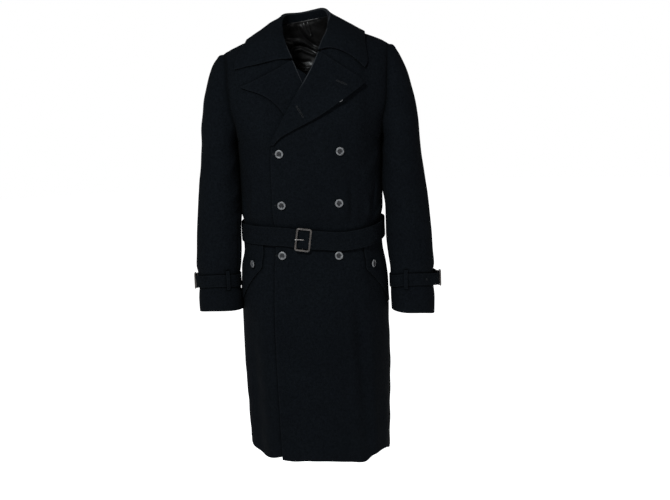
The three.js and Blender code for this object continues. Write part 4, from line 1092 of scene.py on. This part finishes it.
def build_buckle(node, plan, pieces):
    """A leather-covered frame whose middle bar lies lower on two short legs."""
    seat = Seat(node)
    bar, thick = plan["bar"], plan["thick"]
    half = (seat.size[:2] * (plan["slim"], 1) - bar) / 2
    corner = bar * 0.9
    path = []
    for quarter, (sign_x, sign_y) in enumerate([(1, 1), (-1, 1), (-1, -1), (1, -1)]):
        for step in range(7):
            turn = math.radians(90 * quarter + 15 * step)
            path.append((sign_x * (half[0] - corner) + corner * math.cos(turn),
                         sign_y * (half[1] - corner) + corner * math.sin(turn),
                         seat.size[2] - thick / 2))
    frame_bar = oval_bar(path, (0, 0, 1), bar, thick, closed=True, sides=16)
    low, top = plan["low"], seat.size[2] - thick / 2
    middle = [(0, half[1], top), (0, half[1], low + 0.001), (0, half[1] - 0.0012, low),
              (0, 0, low), (0, 0.0012 - half[1], low), (0, -half[1], low + 0.001), (0, -half[1], top)]
    middle_bar = oval_bar(middle, (1, 0, 0), 0.0024, plan["middle"], sides=10)
    parts = [(seat.laid(places), faces, rounding) for places, faces, rounding in (frame_bar, middle_bar)]
    pieces[node] = joined_piece(node + "_leather", parts, HIDE)
    return seat


def build_prong(seat, pieces):
    """The belt buckle's prong, which lies over the frame with its slimmer end."""
    path = [(x * MM, 0, seat.size[2] + h * MM) for x, h in PRONG]
    taper = np.interp(np.arange(len(path)), [0, 2, len(path) - 1], [1.0, 1.0, 0.55])
    places, faces, rounding = oval_bar(path, (0, 1, 0), *PRONG_BAR, taper=taper)
    parts = [(seat.laid(places), faces, rounding)]
    pieces["belt_prong"] = joined_piece("belt_prong_metal", parts, METAL)


# ---------------------------------------------------------------- lining and small sewing

LINING = {"columns": 97, "rows": 113, "half": 0.100, "low": -0.318, "thick": 0.0010, "drop": 0.018}
LINING_OFF, HANGER_OFF = 0.0016, 0.0022    # from the wall to the lining, and from it to the loop


def lining_top(x):
    """How high the lining is sewn to the neck, in metres."""
    return -0.006 + 0.15 * (x + 0.063) - 22 * np.maximum(0, np.abs(x + 0.005) - 0.058) ** 2


def grid_faces(rows, columns):
    """The quads between the places of a grid that are listed row by row."""
    corners = [row * columns + column for row, column in np.ndindex(rows - 1, columns - 1)]
    return [(first, first + 1, first + 1 + columns, first + columns) for first in corners]


def laid_sheet(name, places, rows, columns, thick, halvings=0):
    """A sheet of cloth through a grid of places, in metres."""
    mesh = bpy.data.meshes.new(name)
    mesh.from_pydata(places, [], grid_faces(rows, columns))
    piece = new_piece(name, mesh)
    if halvings:
        piece.modifiers.new("round", "SUBSURF").levels = halvings
    solid = piece.modifiers.new("thick", "SOLIDIFY")
    solid.thickness, solid.offset = thick, 0
    evaluated(piece)
    smooth_faces(piece.data)
    return piece


def evened(grid, times):
    """A grid of numbers, each averaged with its neighbours."""
    for _ in range(times):
        wide = np.pad(grid, 1, mode="edge")
        grid = (wide[:-2, 1:-1] + wide[2:, 1:-1] + wide[1:-1, :-2] + wide[1:-1, 2:] + 4 * grid) / 8
    return grid


def build_lining(pieces):
    """The lining behind the open neck, creased where it hangs free, and its hanger loop."""
    plan = LINING
    hung, neck = Ground(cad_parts["lining_back"]), Ground(pieces["back"], pieces["collar"])
    across = np.linspace(-plan["half"], plan["half"], plan["columns"])
    share = np.linspace(0, 1, plan["rows"])[:, None]
    x = np.broadcast_to(across, (plan["rows"], plan["columns"]))
    z = lining_top(across) * (1 - share) + plan["low"] * share
    y, wall = np.zeros(x.shape), np.full(x.shape, 1.0)
    for row, column in np.ndindex(x.shape):
        start = (x[row, column], 0, z[row, column])
        behind, own = neck.met(start, BACKWARDS), hung.met(start, BACKWARDS)
        if behind:
            wall[row, column] = behind[0].y
        y[row, column] = own[0].y if own else min(wall[row, column], 0.1) - 0.002
    y = np.minimum(evened(y, 14), wall - LINING_OFF)
    y = evened(y, 3)
    rise = np.zeros(x.shape)
    for crease in LINING_CREASES:
        distance, along = along_path(x / MM, z / MM, crease.path)
        taper = smooth(0, 0.2, along) * smooth(0, 0.2, 1 - along)
        rise += crease.rise * taper * bell(distance, crease.half)
    y = y - np.maximum(rise, -3) * MM - plan["drop"] * smooth(-0.050, -0.130, z)
    places = np.stack([x, y, z], axis=-1).reshape(-1, 3)
    piece = laid_sheet("lining_satin", places, plan["rows"], plan["columns"], plan["thick"])
    piece.data.materials.append(SATIN)
    pieces["lining_back"] = piece
    ground = Ground(piece)
    path = [ground.met((x * MM, 0, z * MM), BACKWARDS) for x, z in HANGER_LOOP]
    path = [place - Vector(BACKWARDS) * HANGER_OFF for place, _ in filter(None, path)]
    loop = oval_bar(path, (0, -1, 0), *HANGER_BAR)
    pieces["hanger_loop"] = joined_piece("hanger_loop", [loop], SATIN)


# Buttonholes on the lapel and beside the buttons of the buttoning edge: both ends, in mm.
BUTTONHOLES = [((71, -138), (93, -148)), ((-25.5, -195), (-11.5, -220))]
EDGE_BUTTONS = ["button_upper_right", "button_middle_right", "button_lower_right"]
HOLE_FROM, HOLE_TO = 4, -15                # a hole's two ends beside such a button's middle, in mm
HOLE_HALF, HOLE_LIFT = 1.3, 0.2            # a buttonhole's half width, and how high its thread lies
EYELET, EYELET_RADIUS = (275, -631), 2.0   # x and height of the eyelet in the left cuff strap's end
# Step, length and width of the stitches, in metres.
BELT_STITCH = (0.0036, 0.0031, 0.00055)
STRAP_STITCH = (0.0032, 0.0027, 0.0005)
HOLE_STITCH = (0.0006, 0.0026, 0.0006)


def buttonhole_path(ground, start, end):
    """Two rows side by side and the round ends that join them, as one path over the ground."""
    start, end = np.array(start, dtype=float), np.array(end, dtype=float)
    way = (end - start) / np.linalg.norm(end - start)
    side = np.array([-way[1], way[0]]) * HOLE_HALF
    spots = []
    for near, far, sign in ((start, end, 1), (end, start, -1)):
        spots += [near + side * sign + (far - near) * step / 10 for step in range(11)]
        for turn in (math.pi * step / 6 for step in range(1, 6)):
            spots.append(far + side * sign * math.cos(turn) + way * HOLE_HALF * sign * math.sin(turn))
    return ground.path([*spots, spots[0]], HOLE_LIFT)


def build_sewing(pieces, rows):
    """All stitches: the rows of belt and straps, the buttonholes and the eyelet."""
    long_rows = row_paths("belt", rows)
    pieces["belt_stitches"] = sewn_piece("belt_stitches", long_rows, *BELT_STITCH)
    for side in ("left", "right"):
        name = "cuff_strap_" + side
        paths = row_paths(name, rows)
        pieces[name + "_stitches"] = sewn_piece(name + "_stitches", paths, *STRAP_STITCH)
    front = Ground(pieces["lapel_left"], pieces["front_left"])
    holes = [buttonhole_path(front, start, end) for start, end in BUTTONHOLES]
    for button in EDGE_BUTTONS:
        x, _, z = Seat(button).low / MM
        holes.append(buttonhole_path(front, (x + HOLE_FROM, z), (x + HOLE_TO, z)))
    cuff = Ground(pieces["cuff_strap_left"])
    x, z = EYELET
    ring = [(x + EYELET_RADIUS * math.cos(turn), z + EYELET_RADIUS * math.sin(turn))
            for turn in np.radians(range(0, 361, 20))]
    holes.append(cuff.path(ring, 0.1))
    holes = [hole for hole in holes if len(hole) > 3]
    pieces["buttonholes"] = sewn_piece("buttonholes", holes, *HOLE_STITCH, turn=math.pi / 2,
                                       thread=HOLE_THREAD)


# The right front's facing in the point of the open neck: its sewn and its free edge, in mm.
FACING_SEWN = [(-50, -92), (-45.5, -103), (-40, -115), (-34, -127), (-28, -139), (-22, -151),
               (-14, -165)]
FACING_FREE = [(-47, -90), (-39, -98), (-27, -106), (-15, -113), (-3, -120), (8, -132), (16, -150)]
FACING_STEPS, FACING_THICK = 7, 0.0024         # places from edge to edge, and metres
FACING_BEHIND, FACING_SINK = 2.2, 9            # mm behind the lapel, and further at its free edge
FACING_DEPTH = -100                            # where it lies if no cloth is behind it, in mm


def build_facing(pieces):
    """The facing that shows in the point of the open neck, joined to the lapel it is cut with."""
    lapel = pieces["lapel_right"]
    ground = Ground(lapel, pieces["front_right"])
    places = []
    for (x0, z0), (x1, z1) in zip(FACING_SEWN, FACING_FREE):
        met = ground.met(((x0 - 2) * MM, IN_FRONT, (z0 - 1) * MM), BACKWARDS)
        y = met[0].y / MM + FACING_BEHIND if met else FACING_DEPTH
        for share in np.linspace(0, 1, FACING_STEPS):
            places.append((x0 + (x1 - x0) * share, y + FACING_SINK * share**1.5, z0 + (z1 - z0) * share))
    facing = laid_sheet("facing", np.array(places) * MM, len(FACING_SEWN), FACING_STEPS,
                        FACING_THICK, halvings=2)
    for name, value in (("from_seam", FAR), ("from_edge", FAR), ("folded", 0.0), ("beneath", FAR)):
        give_values(facing.data, name, np.full(len(facing.data.vertices), value))
    facing.data.materials.append(WOOL)
    bpy.ops.object.select_all(action="DESELECT")
    bpy.context.view_layer.objects.active = lapel
    for piece in (lapel, facing):
        piece.select_set(True)
    bpy.ops.object.join()


# ---------------------------------------------------------------- the coat

pieces, rows = build_cloth()
build_facing(pieces)
build_lining(pieces)
build_buttons(pieces)
for buckle_node, plan in [("belt_buckle", BELT_BUCKLE), ("cuff_buckle_left", CUFF_BUCKLE),
                          ("cuff_buckle_right", CUFF_BUCKLE)]:
    seat = build_buckle(buckle_node, plan, pieces)
    if buckle_node == "belt_buckle":
        build_prong(seat, pieces)
build_sewing(pieces, rows)

# The cut of each cloth piece: width and length, flat area, how it is held and what it lies on.
SHEETS = {
    "front_left": ((0.36, 1.09), 0.340, "hung", []),
    "front_right": ((0.36, 1.09), 0.334, "hung", []),
    "back": ((0.56, 1.09), 0.508, "hung", []),
    "sleeve_left": ((0.36, 0.66), 0.195, "hung", []),
    "sleeve_right": ((0.36, 0.65), 0.187, "hung", []),
    "collar": ((0.52, 0.17), 0.068, "folded", ["back", "front_left", "front_right"]),
    "lapel_left": ((0.15, 0.24), 0.0205, "folded", ["front_left"]),
    "lapel_right": ((0.12, 0.18), 0.0125, "folded", ["front_right"]),
    "flap_left": ((0.09, 0.16), 0.0100, "laid", ["front_left"]),
    "flap_right": ((0.09, 0.16), 0.0099, "laid", ["front_right"]),
    "belt": ((0.045, 1.19), 0.0535, "laid", ["front_left", "front_right", "back"]),
    "cuff_strap_left": ((0.030, 0.41), 0.0123, "laid", ["sleeve_left"]),
    "cuff_strap_right": ((0.030, 0.39), 0.0117, "laid", ["sleeve_right"]),
    "cuff_loop_left": ((0.010, 0.050), 0.00048, "laid", ["cuff_strap_left"]),
    "cuff_loop_right": ((0.010, 0.050), 0.00048, "laid", ["cuff_strap_right"]),
    "lining_back": ((0.20, 0.33), 0.066, "hung", []),
}

for name, piece in pieces.items():
    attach(piece, "root")
    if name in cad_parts:
        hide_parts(name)
    if name in SHEETS:
        [pieces["hanger_loop"]] if name == "lining_back" else []


# ---------------------------------------------------------------- floor, light and camera

# Where each soft light stands and what it is aimed at in metres, its side, its watts and its colour.
SOFTBOXES = {
    "key": ((-1.2, -2.6, 2.0), (0, 0, -0.45), 0.6, 205, (0.95, 1.0, 1.02)),
    "fill": ((2.2, -2.4, 0.4), (0, 0, -0.5), 1.8, 24, (1.0, 0.97, 1.0)),
}
SURROUNDINGS = 0.14                     # how strongly the white surroundings light the coat
FLOOR_HEIGHT, FLOOR_RADIUS = -1.5, 9
CAMERA = (0.053, -3.2, 0)
CAMERA_AIM = (0.053, 0, -0.564)
CAMERA_TILT = math.radians(-2)
FOCAL_LENGTH, PICTURE_WIDTH = 1299.7, 670    # both in pixels
SENSOR_WIDTH = 36                            # mm


def softbox(name, at, towards, side, power, colour):
    """A square soft light."""
    lamp = bpy.data.lights.new(name, "AREA")
    lamp.shape, lamp.size, lamp.size_y = "RECTANGLE", side, side
    lamp.energy, lamp.color = power, colour
    light = bpy.data.objects.new(name, lamp)
    bpy.context.scene.collection.objects.link(light)
    light.location = at
    light.rotation_euler = (Vector(towards) - light.location).to_track_quat("-Z", "Y").to_euler()


def studio():
    """Pale floor under the coat, white surroundings and large soft lights from the front."""
    bpy.ops.mesh.primitive_circle_add(vertices=96, radius=FLOOR_RADIUS, fill_type="NGON",
                                      location=(0, 0, FLOOR_HEIGHT))
    floor = bpy.context.object
    floor.name = "floor"
    paper = Finish("floor_paper")
    soft = paper.noise(paper.place(), 3.0)
    white = paper.mix(soft, (0.93, 0.93, 0.93, 1), (0.96, 0.96, 0.96, 1))
    floor.data.materials.append(paper.give(Base_Color=white, Roughness=0.9, Emission_Color=white,
                                           Emission_Strength=1.0))
    world = bpy.data.worlds.new("studio")
    world.use_nodes = True
    nodes, links = world.node_tree.nodes, world.node_tree.links
    lit = nodes["Background"]
    lit.inputs["Color"].default_value, lit.inputs["Strength"].default_value = (1, 1, 1, 1), SURROUNDINGS
    seen = nodes.new("ShaderNodeBackground")
    seen.inputs["Color"].default_value, seen.inputs["Strength"].default_value = (1, 1, 1, 1), 1.0
    either, path = nodes.new("ShaderNodeMixShader"), nodes.new("ShaderNodeLightPath")
    links.new(path.outputs["Is Camera Ray"], either.inputs[0])
    links.new(lit.outputs[0], either.inputs[1])
    links.new(seen.outputs[0], either.inputs[2])
    links.new(either.outputs[0], nodes["World Output"].inputs["Surface"])
    bpy.context.scene.world = world
    for name, plan in SOFTBOXES.items():
        softbox(name, *plan)


def camera():
    """A camera before the coat, turned a little on its axis."""
    lens = bpy.data.cameras.new("camera")
    lens.sensor_width, lens.lens = SENSOR_WIDTH, SENSOR_WIDTH * FOCAL_LENGTH / PICTURE_WIDTH
    made = bpy.data.objects.new("camera", lens)
    bpy.context.scene.collection.objects.link(made)
    made.location = CAMERA
    look = (Vector(CAMERA_AIM) - made.location).to_track_quat("-Z", "Y")
    made.rotation_euler = (look.to_matrix() @ Matrix.Rotation(CAMERA_TILT, 3, "Z")).to_euler()
    bpy.context.scene.camera = made


studio()
camera()
bpy.context.scene.view_settings.view_transform = "Standard"
